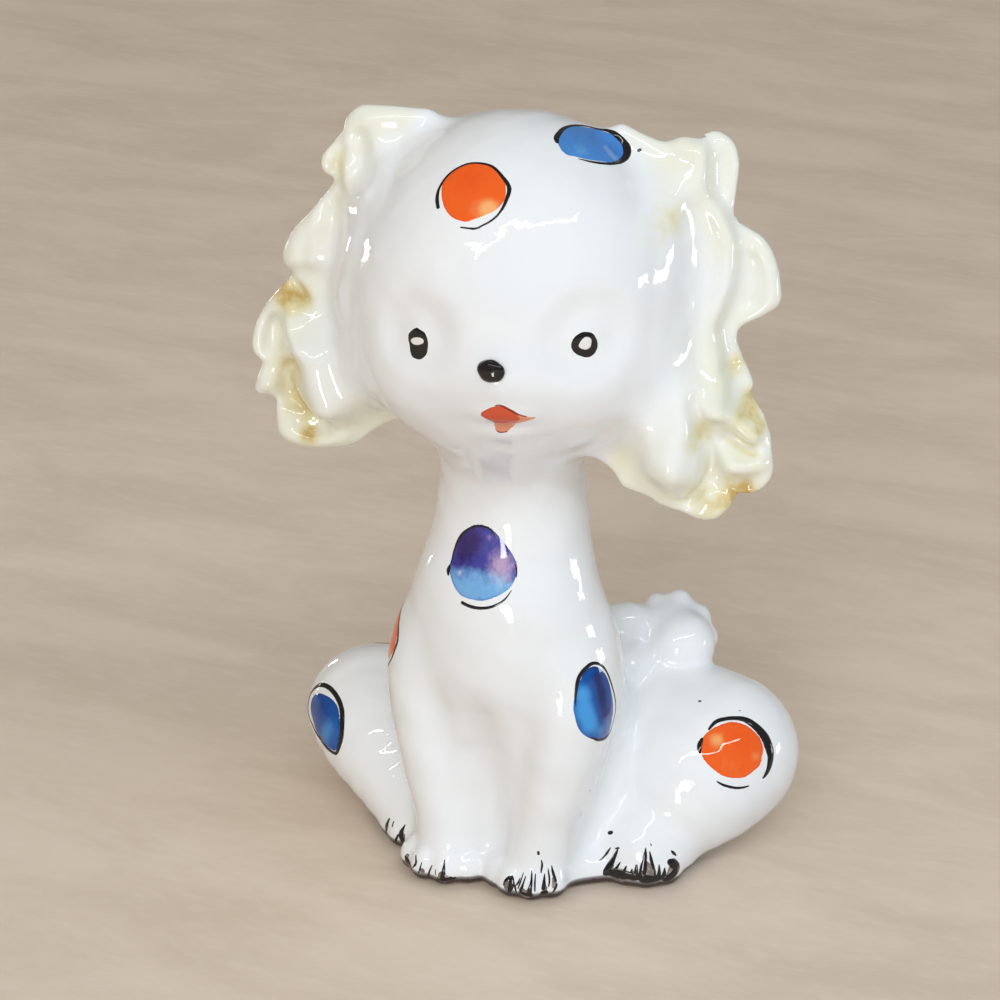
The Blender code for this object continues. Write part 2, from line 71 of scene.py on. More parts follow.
# Faces this near to the hollow or the drain hole belong to the body
HOLLOW_NEAR = 1.0

# Torso and neck: height, centre towards the back, half width, half depth
TORSO = (
    (0.0, 7.5, 14.0, 15.5), (10.0, 6.0, 13.7, 15.0), (20.0, 3.2, 12.6, 13.5),
    (29.0, -0.5, 12.8, 12.0), (34.0, -2.0, 12.3, 10.6), (39.5, -2.3, 10.8, 9.8),
    (45.0, -1.2, 9.2, 8.7), (50.0, -0.3, 7.9, 8.1), (56.0, -0.5, 6.3, 7.3), (61.0, -0.8, 5.6, 6.8),
)
# The throat, from the chin down into the neck: out, back, height, radius
THROAT = ((1.4, -7.8, 63.2, 5.6), (0.7, -4.0, 57.0, 5.4), (0.1, -1.2, 50.0, 6.0))
# Forelegs: height, out from the middle, centre back, half width, half depth
FORELEG = (
    (0.0, 5.3, -5.7, 4.4, 5.0), (1.4, 5.3, -5.7, 4.8, 5.4), (3.4, 5.4, -5.6, 4.8, 5.4),
    (7.0, 6.1, -5.3, 4.4, 5.3), (13.0, 7.4, -4.8, 4.7, 6.0), (20.0, 8.5, -4.2, 5.2, 6.8),
    (27.0, 8.8, -3.2, 5.6, 7.4), (33.0, 7.8, -2.6, 5.0, 6.4), (38.0, 6.2, -2.0, 2.6, 4.0),
)
# The hollow between the forelegs: out, back, height, radius
LEG_RECESS = (
    (0.9, -9.5, 2.8, 1.0), (0.6, -9.1, 7.0, 1.6), (0.2, -9.5, 12.0, 2.3), (0.0, -10.9, 17.5, 2.9),
    (-0.2, -13.4, 22.5, 3.0), (-0.2, -16.4, 27.0, 2.6),
)
# Low webs of clay between the paws, along the base: out, back, height, radius
BASE_WEBS = (((-3.5, -7.6, 1.2, 2.2), (3.0, -7.5, 1.2, 2.2)), ((7.5, -6.0, 1.4, 2.4), (13.0, -2.0, 1.4, 2.4)))
# Hind legs, paw to haunch: back, out from the torso's side, height, radius
RIGHT_HIND_LEG = (
    (-1.0, -2.4, 2.7, 5.1), (1.6, 1.4, 5.2, 5.8), (5.6, 6.8, 9.4, 7.5), (8.8, 9.3, 10.4, 8.2),
)
LEFT_HIND_LEG = (
    (1.6, 2.5, 2.8, 5.8), (5.5, 4.3, 6.0, 6.6), (10.5, 6.9, 10.2, 9.6), (13.5, 8.2, 11.2, 9.8),
)
# Hips: out from the torso's side, back, height, radius
RIGHT_HIP = (0.6, 12.6, 12.0, 8.2)
LEFT_HIP = (0.6, 15.6, 12.6, 8.4)
HIP_BLEND, LEG_STEPS = 4.0, 8
# Toes are balls, with heights scaled by TOE_UPRIGHT so that they stand a little taller
TOE_RADIUS, TOE_HEIGHT, TOE_UPRIGHT = 1.9, 1.7, 0.8
# Each paw: its centre out and back, reach of the toe balls, angles from straight ahead
PAWS = {
    "right_foreleg": (-5.7, -6.2, 4.6, (-58, -22, 12, 46)),
    "left_foreleg": (4.9, -6.0, 4.4, (-46, -14, 18, 50)),
    "right_hind_leg": (-11.4, -1.0, 3.7, (-62, -26, 10, 44)),
    "left_hind_leg": (16.4, 1.6, 4.3, (-40, -8, 24, 56)),
}

# The tail's root (out, back, height), the stem's radius and how far it arches up
TAIL_ROOT = (4.0, 13.6, 24.5)
TAIL_STEM_RADIUS, TAIL_ARCH = 2.6, 1.6
# The ruffled fan that joins the tail to the rump and the haunch: out, back, height, radius
TAIL_FAN = ((8.4, 12.2, 21.6, 2.9), (11.0, 16.4, 19.2, 4.2), (13.4, 19.6, 17.0, 4.2))
FAN_RUFFLE, FAN_BLEND = 0.35, 2.0
# The pompom's middle, its core, and its front ball as (radius, reach)
POMPOM = (12.8, 20.2, 22.0)
POMPOM_CORE, POMPOM_FRONT = 4.9, (4.2, 2.6)
# The front ball sits low and towards the body: along the rosette's side and up
POMPOM_FRONT_SHIFT = (-1.0, -0.8)
# Lobes round the rosette: angle in degrees, reach, radius
POMPOM_LOBES = (
    (2, 4.5, 1.7), (41, 5.4, 1.0), (72, 4.3, 1.6), (107, 4.4, 1.8), (146, 4.2, 1.8), (184, 4.3, 1.8),
    (222, 4.1, 1.8), (300, 4.3, 1.8), (335, 4.4, 1.6),
)
LOBE_BLEND, FRONT_BLEND = 0.8, 0.5

# Head, turned towards the dog's left about its own upright axis
HEAD_SIDE, HEAD_BACK, HEAD_HEIGHT = 0.75, -1.9, 76.2
HEAD_TURN = math.radians(14.0)
HEAD_HALF = (18.9, 18.1, 19.6)
# The head is round above and squarer below: the powers of its oval at the crown and the cheeks
CROWN_POWER, CHEEK_POWER = 2.0, 2.35
# Relief of the face seen from its front: out, height, half width, half height, rise, steepness.
# It fades out over FACE_FADE towards the middle of the head.
FACE_FADE = 8.0
FACE_RELIEF = (
    (0.4, -5.2, 6.5, 6.5, 1.8, 1),
    (0.2, -4.0, 2.2, 2.2, 0.35, 1),
    (0.9, -9.3, 3.4, 1.1, 0.45, 1),
    (0.9, -12.4, 3.0, 1.3, 0.65, 1),
    (0.9, -10.7, 2.8, 0.5, -0.35, 1),
    (0.0, -1.0, 15.0, 3.6, -0.45, 1),
    (-8.6, -0.8, 4.2, 4.6, -1.0, 2),
    (9.8, 0.0, 4.6, 4.9, -1.1, 2),
    (-8.6, -1.7, 1.9, 2.5, 0.45, 1),
    (9.8, -0.8, 2.2, 2.2, 0.5, 1),
    (-12.0, -9.0, 6.0, 5.0, 0.5, 1),
    (12.5, -9.0, 6.0, 5.0, 0.5, 1),
)

# Ear edges seen from the head's front: out from the head's middle, height above its centre
RIGHT_EAR_EDGE = (
    (10.1, 19.1), (15.5, 19.4), (18.3, 19.1), (19.9, 17.3), (20.2, 16.0), (21.9, 14.1), (22.7, 12.4),
    (22.0, 10.9), (21.1, 10.2), (23.8, 6.8), (26.0, 4.2), (27.2, 1.6), (26.7, -0.4), (26.0, -0.9),
    (28.5, -3.8), (30.4, -6.9), (31.1, -9.6), (30.6, -11.0), (29.8, -11.9), (30.8, -14.7),
    (30.5, -16.1), (28.6, -16.4), (28.2, -18.8), (28.0, -20.6), (26.5, -22.1), (22.9, -22.3),
    (19.5, -21.8), (16.9, -20.1), (14.6, -18.2),
)
LEFT_EAR_EDGE = (
    (11.5, 18.3), (14.7, 16.9), (16.6, 16.4), (18.2, 17.1), (20.0, 17.4), (22.3, 17.2), (24.1, 16.2),
    (24.9, 14.2), (24.7, 10.8), (24.7, 8.6), (25.9, 6.8), (28.2, 5.2), (29.7, 2.4), (30.3, -0.4),
    (30.1, -2.2), (28.3, -3.4), (26.1, -4.6), (25.5, -5.7), (25.9, -7.3), (27.4, -10.3),
    (28.3, -12.3), (29.4, -13.8), (30.1, -16.2), (30.5, -19.6), (29.8, -21.1), (28.1, -22.4),
    (26.4, -22.5), (26.2, -23.4), (24.4, -25.1), (22.5, -25.4), (20.0, -24.6), (17.6, -23.9),
    (16.1, -23.1), (13.2, -22.3),
)
# How an ear lies, down from its top: height, set back, half thickness at the front and the back
RIGHT_EAR_LIE = (
    (-25.0, -0.5, 2.2, 1.6), (-16.0, 0.0, 3.0, 2.4), (-8.0, 0.4, 3.0, 2.6), (0.0, 0.6, 2.6, 2.4),
    (9.0, 1.2, 2.0, 2.0), (19.0, 2.4, 1.8, 1.6),
)
LEFT_EAR_LIE = (
    (-25.0, -7.4, 2.0, 1.8), (-20.0, -5.6, 2.8, 2.6), (-12.0, -3.0, 3.2, 3.0), (-6.0, -1.4, 2.8, 2.6),
    (0.0, 0.4, 2.4, 2.4), (9.0, 1.2, 2.0, 2.0), (17.0, 2.8, 1.8, 1.6),
)
# Where an ear leaves the head it swells forward by this much, from this far out, and less again
# towards the head
EAR_ROOT_SWELL, EAR_ROOT_OUT, EAR_ROOT_RUN = 2.4, 23.0, 7.0
EAR_ROOT_IN, EAR_ROOT_FADE = 13.0, 4.0
# How widely an ear runs into the head: below, and above EAR_TOP over EAR_TOP_RUN
EAR_BLEND, EAR_TOP_BLEND, EAR_TOP, EAR_TOP_RUN = 5.5, 2.5, 8.0, 9.0
# Inwards from the edge: where the folds are full, their share at the edge, and where the ear is thick
FOLD_RUN, FOLD_LEAST, THICK_RUN = 1.6, 0.35, 7.0
# The shares of the root's swell and of the folds that the ear's back has too
BACK_SWELL, BACK_FOLDS = 0.5, 0.6
# Folds pressed into the ears: (out, height) points along the fold, half width, rise to the front
RIGHT_EAR_FOLDS = (
    (((17.6, 15.4), (17.3, 12.8)), 1.9, -1.5),
    (((17.3, 12.4),), 0.9, -0.6),
    (((19.6, 12.6), (19.1, 10.8), (17.6, 10.2), (15.3, 11.6), (14.4, 13.6)), 0.9, 1.3),
    (((12.0, 18.6), (16.0, 18.4), (18.4, 17.2), (19.3, 15.4)), 1.0, 0.8),
    (((20.6, 16.0), (20.4, 13.4), (21.0, 10.4)), 0.7, -1.5),
    (((23.4, 6.6), (25.3, 3.8), (25.8, 1.2)), 1.1, 0.9),
    (((22.6, 5.4), (23.4, 1.4)), 1.1, 0.9),
    (((20.6, 7.6), (20.4, 2.0), (21.2, -3.0), (19.9, -5.6)), 1.6, -1.3),
    (((26.6, -0.8), (25.8, -2.2), (24.4, -3.6)), 0.7, -1.8),
    (((26.8, -3.6), (28.8, -5.4), (30.0, -8.2), (30.0, -10.4)), 0.9, 0.9),
    (((28.2, -7.0), (28.4, -10.0)), 1.4, -2.0),
    (((25.6, -4.6), (26.2, -6.4), (24.9, -8.4)), 1.0, 1.5),
    (((30.0, -11.2), (28.2, -11.0), (26.8, -10.6)), 0.7, 1.0),
    (((26.0, -11.8), (26.6, -13.8), (26.2, -15.8), (24.6, -17.3), (22.6, -18.4)), 1.2, -2.3),
    (((22.8, -9.8), (22.4, -12.6), (21.8, -15.4)), 2.6, 2.8),
    (((29.4, -14.4),), 1.0, 0.7),
    (((29.2, -16.6), (27.4, -16.4)), 0.7, -1.0),
    (((27.0, -20.4), (24.0, -21.2), (20.0, -20.6)), 1.1, 0.9),
    (((25.6, -19.2), (23.4, -20.0)), 0.6, -1.0),
    (((18.8, -0.6), (18.2, -9.4)), 1.8, 0.8),
)
LEFT_EAR_FOLDS = (
    (((19.0, 17.0), (20.7, 16.4), (21.2, 14.2), (21.7, 10.9), (23.2, 8.8), (24.4, 6.3), (24.6, 2.5),
      (23.9, -0.9), (22.8, -3.8), (23.3, -6.4), (24.3, -9.5), (24.6, -11.7)), 1.0, 1.5),
    (((22.9, 14.0), (22.9, 11.0)), 1.2, -0.7),
    (((26.6, 2.8), (26.4, -1.2)), 1.6, -0.9),
    (((27.8, 4.2), (29.2, 1.0), (29.0, -1.4), (27.6, -3.0)), 0.9, 0.9),
    (((25.6, -8.0), (24.4, -8.3)), 0.6, -1.1),
    (((27.4, -12.4),), 1.0, -1.3),
    (((24.1, -12.0), (26.2, -13.2), (28.2, -15.1)), 1.3, 2.4),
    (((25.2, -15.6), (27.6, -16.9)), 0.9, -1.5),
    (((25.6, -18.4), (27.8, -18.2), (29.6, -18.2)), 1.2, 1.6),
    (((27.6, -21.2),), 0.9, -1.0),
    (((26.2, -22.2), (25.2, -21.0)), 0.6, -1.0),
    (((21.0, -11.4), (20.2, -15.0), (19.4, -18.8)), 2.8, 2.8),
    (((21.4, -10.8), (22.2, -14.6), (23.2, -17.4), (22.8, -20.6), (21.2, -23.0)), 0.7, -2.0),
    (((23.6, -13.8), (24.2, -20.8)), 1.0, -1.0),
    (((20.4, 9.0), (20.6, 2.0), (19.8, -5.0)), 2.4, -0.9),
)
# The left ear's outer lobes lie behind the edge of its front sheet, by this much over this run
LEFT_EAR_STEP, LEFT_EAR_STEP_RUN = 1.9, 2.6
# The rounding of an ear's edge, its least thickness, and the width of the frill along its edge
EAR_RIM, EAR_LEAST, FRILL_WIDTH = 0.8, 1.9, 5.0
# Where an ear's outline closes inside the head, points to each stretch of its curves, and softenings
EAR_INNER_EDGE = ((6.0, -11.0), (4.5, 14.0))
EAR_CURVE_STEPS, EAR_SOFTENINGS = 6, 3

# Stains of the tinted glaze on the ears: side, out, height, radius, strength
EAR_STAINS = (
    (-1, 26.6, -3.4, 1.5, 0.55), (-1, 24.7, -3.6, 1.5, 0.4), (-1, 27.6, -2.4, 1.0, 0.5),
    (-1, 26.3, -11.4, 2.0, 0.35), (-1, 26.0, -14.6, 2.2, 0.4), (-1, 24.8, -17.2, 2.0, 0.4),
    (-1, 24.1, -20.4, 1.0, 0.8), (-1, 20.8, 12.6, 2.0, 0.25), (1, 27.5, -12.7, 1.5, 0.65),
    (1, 28.9, -14.4, 0.8, 0.5), (1, 27.3, -21.8, 1.3, 1.0), (1, 25.8, -22.6, 1.2, 0.5),
    (1, 25.6, -8.6, 1.3, 0.4), (1, 17.6, 9.6, 2.4, 0.3), (1, 22.4, -14.6, 1.8, 0.4),
    (1, 23.6, -23.4, 2.2, 0.4),
)
# The tint of the ears: over the sheet, more along its edge, and more of both low down
TINT_SHEET, TINT_EDGE, TINT_LOW = 0.24, 0.44, 0.14
# Where each part of the tint starts and where it is full: up from the tip, out along the ear, off the
# head's surface, down the ear, and outwards to its edge
TIP_RAMP, OUT_RAMP, OFF_HEAD_RAMP = (-30.0, -27.0), (10.0, 13.0), (-0.6, 3.4)
LOW_RAMP, EDGE_RAMP = (-4.0, -14.0), (7.5, 1.0)
# The same for the bare foot, and for the painted contact shadow and dark edge line above it, which keeps off
# what faces straight down
FOOT_RAMP, GRIME_AND_SHADOW_RAMP, GRIME_AND_SHADOW_WAY_RAMP = (0.5, 0.1), (1.75, 1.35), (-0.97, -0.85)
# How far off the glaze its hollows and ridges are felt, and what counts as fully hollow or sharp
POOL_REACH, POOL_FULL, RIDGE_REACH, RIDGE_FULL = 1.1, 0.45, 0.8, 0.4


def through(rows, key, column):
    """One column of the smooth curve through rows, at each value of key."""
    keys = np.array([row[0] for row in rows], float)
    values = np.array([row[column] for row in rows], float)
    slopes = np.gradient(values, keys)
    key = np.clip(key, keys[0], keys[-1])
    i = np.clip(np.searchsorted(keys, key, side="right") - 1, 0, len(keys) - 2)
    span = keys[i + 1] - keys[i]
    t = (key - keys[i]) / span
    lead, tail = slopes[i] * span, slopes[i + 1] * span
    change = values[i + 1] - values[i]
    return values[i] + t * (lead + t * (3 * change - 2 * lead - tail + t * (lead + tail - 2 * change)))


def spline(points, steps, closed=False):
    """A smooth run of points through the given ones."""
    points = np.array(points, float)
    if len(points) == 1:
        return points
    if closed:
        ring = np.vstack([points[-1:], points, points[:2]])
    else:
        ring = np.vstack([2 * points[:1] - points[1:2], points, 2 * points[-1:] - points[-2:-1]])
    runs = []
    t = np.linspace(0, 1, steps, endpoint=False)[:, None]
    for a, b, c, d in zip(ring, ring[1:], ring[2:], ring[3:]):
        square, cube = 2 * a - 5 * b + 4 * c - d, 3 * b - a - 3 * c + d
        runs.append(0.5 * (2 * b + (c - a) * t + square * t**2 + cube * t**3))
    if not closed:
        runs.append(points[-1:])
    return np.vstack(runs)


def smooth_min(a, b, blend):
    share = np.clip(0.5 + 0.5 * (b - a) / blend, 0, 1)
    return b + (a - b) * share - blend * share * (1 - share)


def smooth_max(a, b, blend):
    return -smooth_min(-a, -b, blend)


def smooth_step(value):
    value = np.clip(value, 0, 1)
    return value * value * (3 - 2 * value)


def ramp(value, start, full):
    """Smoothly from 0 at start to 1 at full."""
    return smooth_step((value - start) / (full - start))


# Forms: each gives the distance to its surface, negative inside, at points in mm.
# (x, y) are measured in the head's turned frame, so that an ear's sheet lies along one plane.
TURN_COS, TURN_SIN = math.cos(HEAD_TURN), math.sin(HEAD_TURN)


def to_table(x, y):
    """From the head's turned frame to the figurine's frame."""
    return TURN_COS * x - TURN_SIN * y + HEAD_SIDE, TURN_SIN * x + TURN_COS * y + HEAD_BACK


def to_turned(x, y):
    x, y = x - HEAD_SIDE, y - HEAD_BACK
    return TURN_COS * x + TURN_SIN * y, TURN_COS * y - TURN_SIN * x


def carried(points, change):
    """Rows of points carried to the other frame by to_table or to_turned."""
    return np.stack([*change(points[:, 0], points[:, 1]), points[:, 2]], axis=1)


def swung(ways, sine):
    """Directions of the turned frame in the figurine's, or back again with the negative sine."""
    across = TURN_COS * ways[:, 0] - sine * ways[:, 1]
    along = sine * ways[:, 0] + TURN_COS * ways[:, 1]
    return np.stack([across, along, ways[:, 2]], axis=1)


def oval_column(x, y, center_x, center_y, half_width, half_depth):
    u, v = x - center_x, y - center_y
    ratio = np.sqrt((u / half_width) ** 2 + (v / half_depth) ** 2) + 1e-6
    steep = np.sqrt((u / half_width**2) ** 2 + (v / half_depth**2) ** 2) + 1e-6
    return ratio * (ratio - 1) / steep


def torso(x, y, z):
    x, y = to_table(x, y)
    side = oval_column(x, y, 0.0, through(TORSO, z, 1), through(TORSO, z, 2), through(TORSO, z, 3))
    return np.maximum(side, z - BODY_HEIGHT)


def throat(x, y, z):
    """The front of the neck, which runs up into the chin."""
    x, y = to_table(x, y)
    return capsules(x, y, z, THROAT)


def body_hollow(x, y, z):
    inner = np.maximum(torso(x, y, z) + BODY_WALL, BODY_WALL - leg_recess(x, y, z))
    return np.maximum(np.maximum(inner, BODY_FLOOR - z), z - HOLLOW_TOP)


def drain_hole(x, y, z):
    x, y = to_table(x, y)
    side = np.hypot(x, y - DRAIN_HOLE_BACK) - DRAIN_HOLE_RADIUS
    return np.maximum(side, z - BODY_FLOOR - DRAIN_HOLE_RISE)


def foreleg(x, y, z, side):
    x, y = to_table(x, y)
    out, back, half_width, half_depth = (through(FORELEG, z, i) for i in (1, 2, 3, 4))
    column = oval_column(x, y, side * out, back, half_width, half_depth)
    return np.maximum(column, z - FORELEG[-1][0])


def capsules(x, y, z, path):
    """Round limb along a path of (x, y, z, radius)."""
    nearest = None
    for (ax, ay, az, ar), (bx, by, bz, br) in zip(path, path[1:]):
        dx, dy, dz = bx - ax, by - ay, bz - az
        length = dx * dx + dy * dy + dz * dz
        share = np.clip(((x - ax) * dx + (y - ay) * dy + (z - az) * dz) / length, 0, 1)
        gap = np.sqrt((x - ax - share * dx) ** 2 + (y - ay - share * dy) ** 2 + (z - az - share * dz) ** 2)
        gap = gap - (ar + share * (br - ar))
        nearest = gap if nearest is None else np.minimum(nearest, gap)
    return nearest


def beside_torso(side, out, height):
    """How far from the middle a place lies that is this far out from the torso's side."""
    return side * (float(through(TORSO, height, 2)) + out)


def hind_leg(x, y, z, side):
    x, y = to_table(x, y)
    rows, hip = (RIGHT_HIND_LEG, RIGHT_HIP) if side < 0 else (LEFT_HIND_LEG, LEFT_HIP)
    path = []
    for back in np.linspace(rows[0][0], rows[-1][0], LEG_STEPS):
        out, height, radius = (float(through(rows, back, i)) for i in (1, 2, 3))
        path.append((beside_torso(side, out, height), back, height, radius))
    out, back, height, radius = hip
    haunch = ball(x, y, z, (beside_torso(side, out, height), back, height), radius)
    return smooth_min(capsules(x, y, z, path), haunch, HIP_BLEND)


def leg_recess(x, y, z):
    x, y = to_table(x, y)
    return capsules(x, y, z, LEG_RECESS)


def base_webs(x, y, z):
    x, y = to_table(x, y)
    return np.minimum(*(capsules(x, y, z, web) for web in BASE_WEBS))


def toe(x, y, z, paw, angle):
    """A toe of a paw, at an angle from straight ahead."""
    x, y = to_table(x, y)
    out, back, reach, _ = PAWS[paw]
    toe_out = out + reach * math.sin(math.radians(angle))
    toe_back = back - reach * math.cos(math.radians(angle))
    upright = (z - TOE_HEIGHT) * TOE_UPRIGHT
    return np.sqrt((x - toe_out) ** 2 + (y - toe_back) ** 2 + upright**2) - TOE_RADIUS


def ball(x, y, z, center, radius):
    return np.sqrt((x - center[0]) ** 2 + (y - center[1]) ** 2 + (z - center[2]) ** 2) - radius


# The pompom's rosette faces the way that the figurine is mostly looked at
ROSETTE_WAY = Vector((0.42, -0.78, 0.46)).normalized()
ROSETTE_SIDE = Vector((0, 0, 1)).cross(-ROSETTE_WAY).normalized()
ROSETTE_UP = ROSETTE_WAY.cross(-ROSETTE_SIDE).normalized()


def pompom(x, y, z):
    x, y = to_table(x, y)
    form = ball(x, y, z, POMPOM, POMPOM_CORE)
    for angle, reach, radius in POMPOM_LOBES:
        way = ROSETTE_SIDE * math.cos(math.radians(angle)) + ROSETTE_UP * math.sin(math.radians(angle))
        form = smooth_min(form, ball(x, y, z, Vector(POMPOM) + way * reach, radius), LOBE_BLEND)
    radius, reach = POMPOM_FRONT
    shift = ROSETTE_SIDE * POMPOM_FRONT_SHIFT[0] + ROSETTE_UP * POMPOM_FRONT_SHIFT[1]
    front = ball(x, y, z, Vector(POMPOM) + ROSETTE_WAY * reach + shift, radius)
    return smooth_min(form, front, FRONT_BLEND)


def tail_stem(x, y, z):
    x, y = to_table(x, y)
    middle = [(a + b) / 2 for a, b in zip(TAIL_ROOT, POMPOM)]
    middle[2] += TAIL_ARCH
    stem = capsules(x, y, z, [(*point, TAIL_STEM_RADIUS) for point in (TAIL_ROOT, middle, POMPOM)])
    ruffle = FAN_RUFFLE * np.sin(2.1 * x + 1.3 * z) * np.cos(1.1 * x - 1.9 * z)
    return smooth_min(stem, capsules(x, y, z, TAIL_FAN) - ruffle, FAN_BLEND)


def skull(x, y, z):
    """The head without its ears, from its own centre."""
    z = z - HEAD_HEIGHT
    reach = np.sqrt(x * x + y * y + z * z) + 1e-6
    power = CROWN_POWER + (CHEEK_POWER - CROWN_POWER) * np.clip(0.5 - z / reach, 0, 1)
    total = np.abs(x / HEAD_HALF[0]) ** power + np.abs(y / HEAD_HALF[1]) ** power
    total = total + np.abs(z / HEAD_HALF[2]) ** power
    distance = reach * (1 - total ** (-1 / power))
    relief = 0
    for out, height, half_width, half_height, rise, steep in FACE_RELIEF:
        off = ((x - out) / half_width) ** 2 + ((z - height) / half_height) ** 2
        relief = relief + rise * np.exp(-(off**steep))
    return distance - relief * smooth_step(-y / FACE_FADE)


class EarSheet:
    """Maps of one ear, seen from the head's front: its edge, its faces and how steep they are."""

    STEP = 0.2
    LOW, HIGH = (4.0, -28.0), (34.0, 23.0)

    def __init__(self, side, edge, lie, folds, step_line=None):
        self.side = side
        out = np.arange(self.LOW[0], self.HIGH[0], self.STEP)
        height = np.arange(self.LOW[1], self.HIGH[1], self.STEP)
        self.out, self.height = np.meshgrid(out, height, indexing="ij")
        self.edge = self.signed_gap(np.vstack([spline(edge, EAR_CURVE_STEPS), EAR_INNER_EDGE]))
        relief = np.zeros_like(self.edge)
        for points, width, rise in folds:
            gap = self.gap(spline(points, EAR_CURVE_STEPS))
            relief += rise * np.exp(-((gap / width) ** 2))
        inset = smooth_step(-self.edge / FOLD_RUN)
        relief = relief * (FOLD_LEAST + (1 - FOLD_LEAST) * inset)
        if step_line is not None:
            beyond = self.side_of(spline(step_line, EAR_CURVE_STEPS))
            relief -= LEFT_EAR_STEP * smooth_step(0.5 + beyond / LEFT_EAR_STEP_RUN)
        thick = smooth_step(-self.edge / THICK_RUN)
        root = EAR_ROOT_SWELL * smooth_step((EAR_ROOT_OUT - self.out) / EAR_ROOT_RUN) * thick
        root = root * smooth_step((self.out - EAR_ROOT_IN) / EAR_ROOT_FADE)
        middle = through(lie, self.height, 1)
        front = EAR_RIM + (through(lie, self.height, 2) - EAR_RIM) * thick + root
        rear = EAR_RIM + (through(lie, self.height, 3) - EAR_RIM) * thick + BACK_SWELL * root
        self.front = middle - front - relief
        self.back = middle + rear - BACK_FOLDS * relief
        for _ in range(EAR_SOFTENINGS):
            self.front, self.back = self.soften(self.front), self.soften(self.back)
        self.back = np.maximum(self.back, self.front + EAR_LEAST)
        self.front_lean, self.back_lean = self.lean(self.front), self.lean(self.back)

    def soften(self, values):
        padded = np.pad(values, 1, mode="edge")
        around = padded[:-2, 1:-1] + padded[2:, 1:-1] + padded[1:-1, :-2] + padded[1:-1, 2:]
        return (padded[1:-1, 1:-1] * 2 + around) / 6

    def lean(self, values):
        by_out, by_height = np.gradient(values, self.STEP)
        return 1 / np.sqrt(1 + by_out**2 + by_height**2)

    def gap(self, line):
        """Distance of every map point to a line of points."""
        if len(line) == 1:
            return np.hypot(self.out - line[0, 0], self.height - line[0, 1])
        best = np.full(self.out.shape, 1e9)
        for (ax, az), (bx, bz) in zip(line, line[1:]):
            dx, dz = bx - ax, bz - az
            along = (self.out - ax) * dx + (self.height - az) * dz
            share = np.clip(along / (dx * dx + dz * dz + 1e-9), 0, 1)
            best = np.minimum(best, np.hypot(self.out - ax - share * dx, self.height - az - share * dz))
        return best

    def signed_gap(self, outline):
        closed = np.vstack([outline, outline[:1]])
        inside = np.zeros(self.out.shape, bool)
        for (ax, az), (bx, bz) in zip(closed, closed[1:]):
            if az == bz:
                continue
            crosses = (az > self.height) != (bz > self.height)
            at = ax + (self.height - az) / (bz - az) * (bx - ax)
            inside ^= crosses & (self.out < at)
        gap = self.gap(closed)
        return np.where(inside, -gap, gap)

    def side_of(self, line):
        """Distance beyond a line that runs down the ear, positive on its outer side."""
        order = np.argsort(line[:, 1])
        at = np.interp(self.height, line[order, 1], line[order, 0], left=40.0, right=line[order[-1], 0])
        return np.sign(self.out - at) * self.gap(line)

    def read(self, values, out, height):
        """Map values between the map's points."""
        u = np.clip((out - self.LOW[0]) / self.STEP, 0, values.shape[0] - 1.001)
        v = np.clip((height - self.LOW[1]) / self.STEP, 0, values.shape[1] - 1.001)
        i, j = u.astype(int), v.astype(int)
        u, v = u - i, v - j
        low = values[i, j] * (1 - u) + values[i + 1, j] * u
        high = values[i, j + 1] * (1 - u) + values[i + 1, j + 1] * u
        return low * (1 - v) + high * v

    def form(self, x, y, z):
        out, height = self.side * x, z - HEAD_HEIGHT
        edge, front, back, front_lean, back_lean = (
            self.read(values, out, height)
            for values in (self.edge, self.front, self.back, self.front_lean, self.back_lean)
        )
        face = np.maximum((front - y) * front_lean, (y - back) * back_lean)
        a, b = face + EAR_RIM, edge + EAR_RIM
        outside = np.sqrt(np.maximum(a, 0) ** 2 + np.maximum(b, 0) ** 2)
        return np.minimum(np.maximum(a, b), 0) + outside - EAR_RIM


def ear_blend(x, y, z):
    """An ear runs into the head in a wide soft hollow, tighter towards its top edge."""
    top = smooth_step((z - HEAD_HEIGHT - EAR_TOP) / EAR_TOP_RUN)
    return EAR_BLEND + (EAR_TOP_BLEND - EAR_BLEND) * top + 0 * x + 0 * y


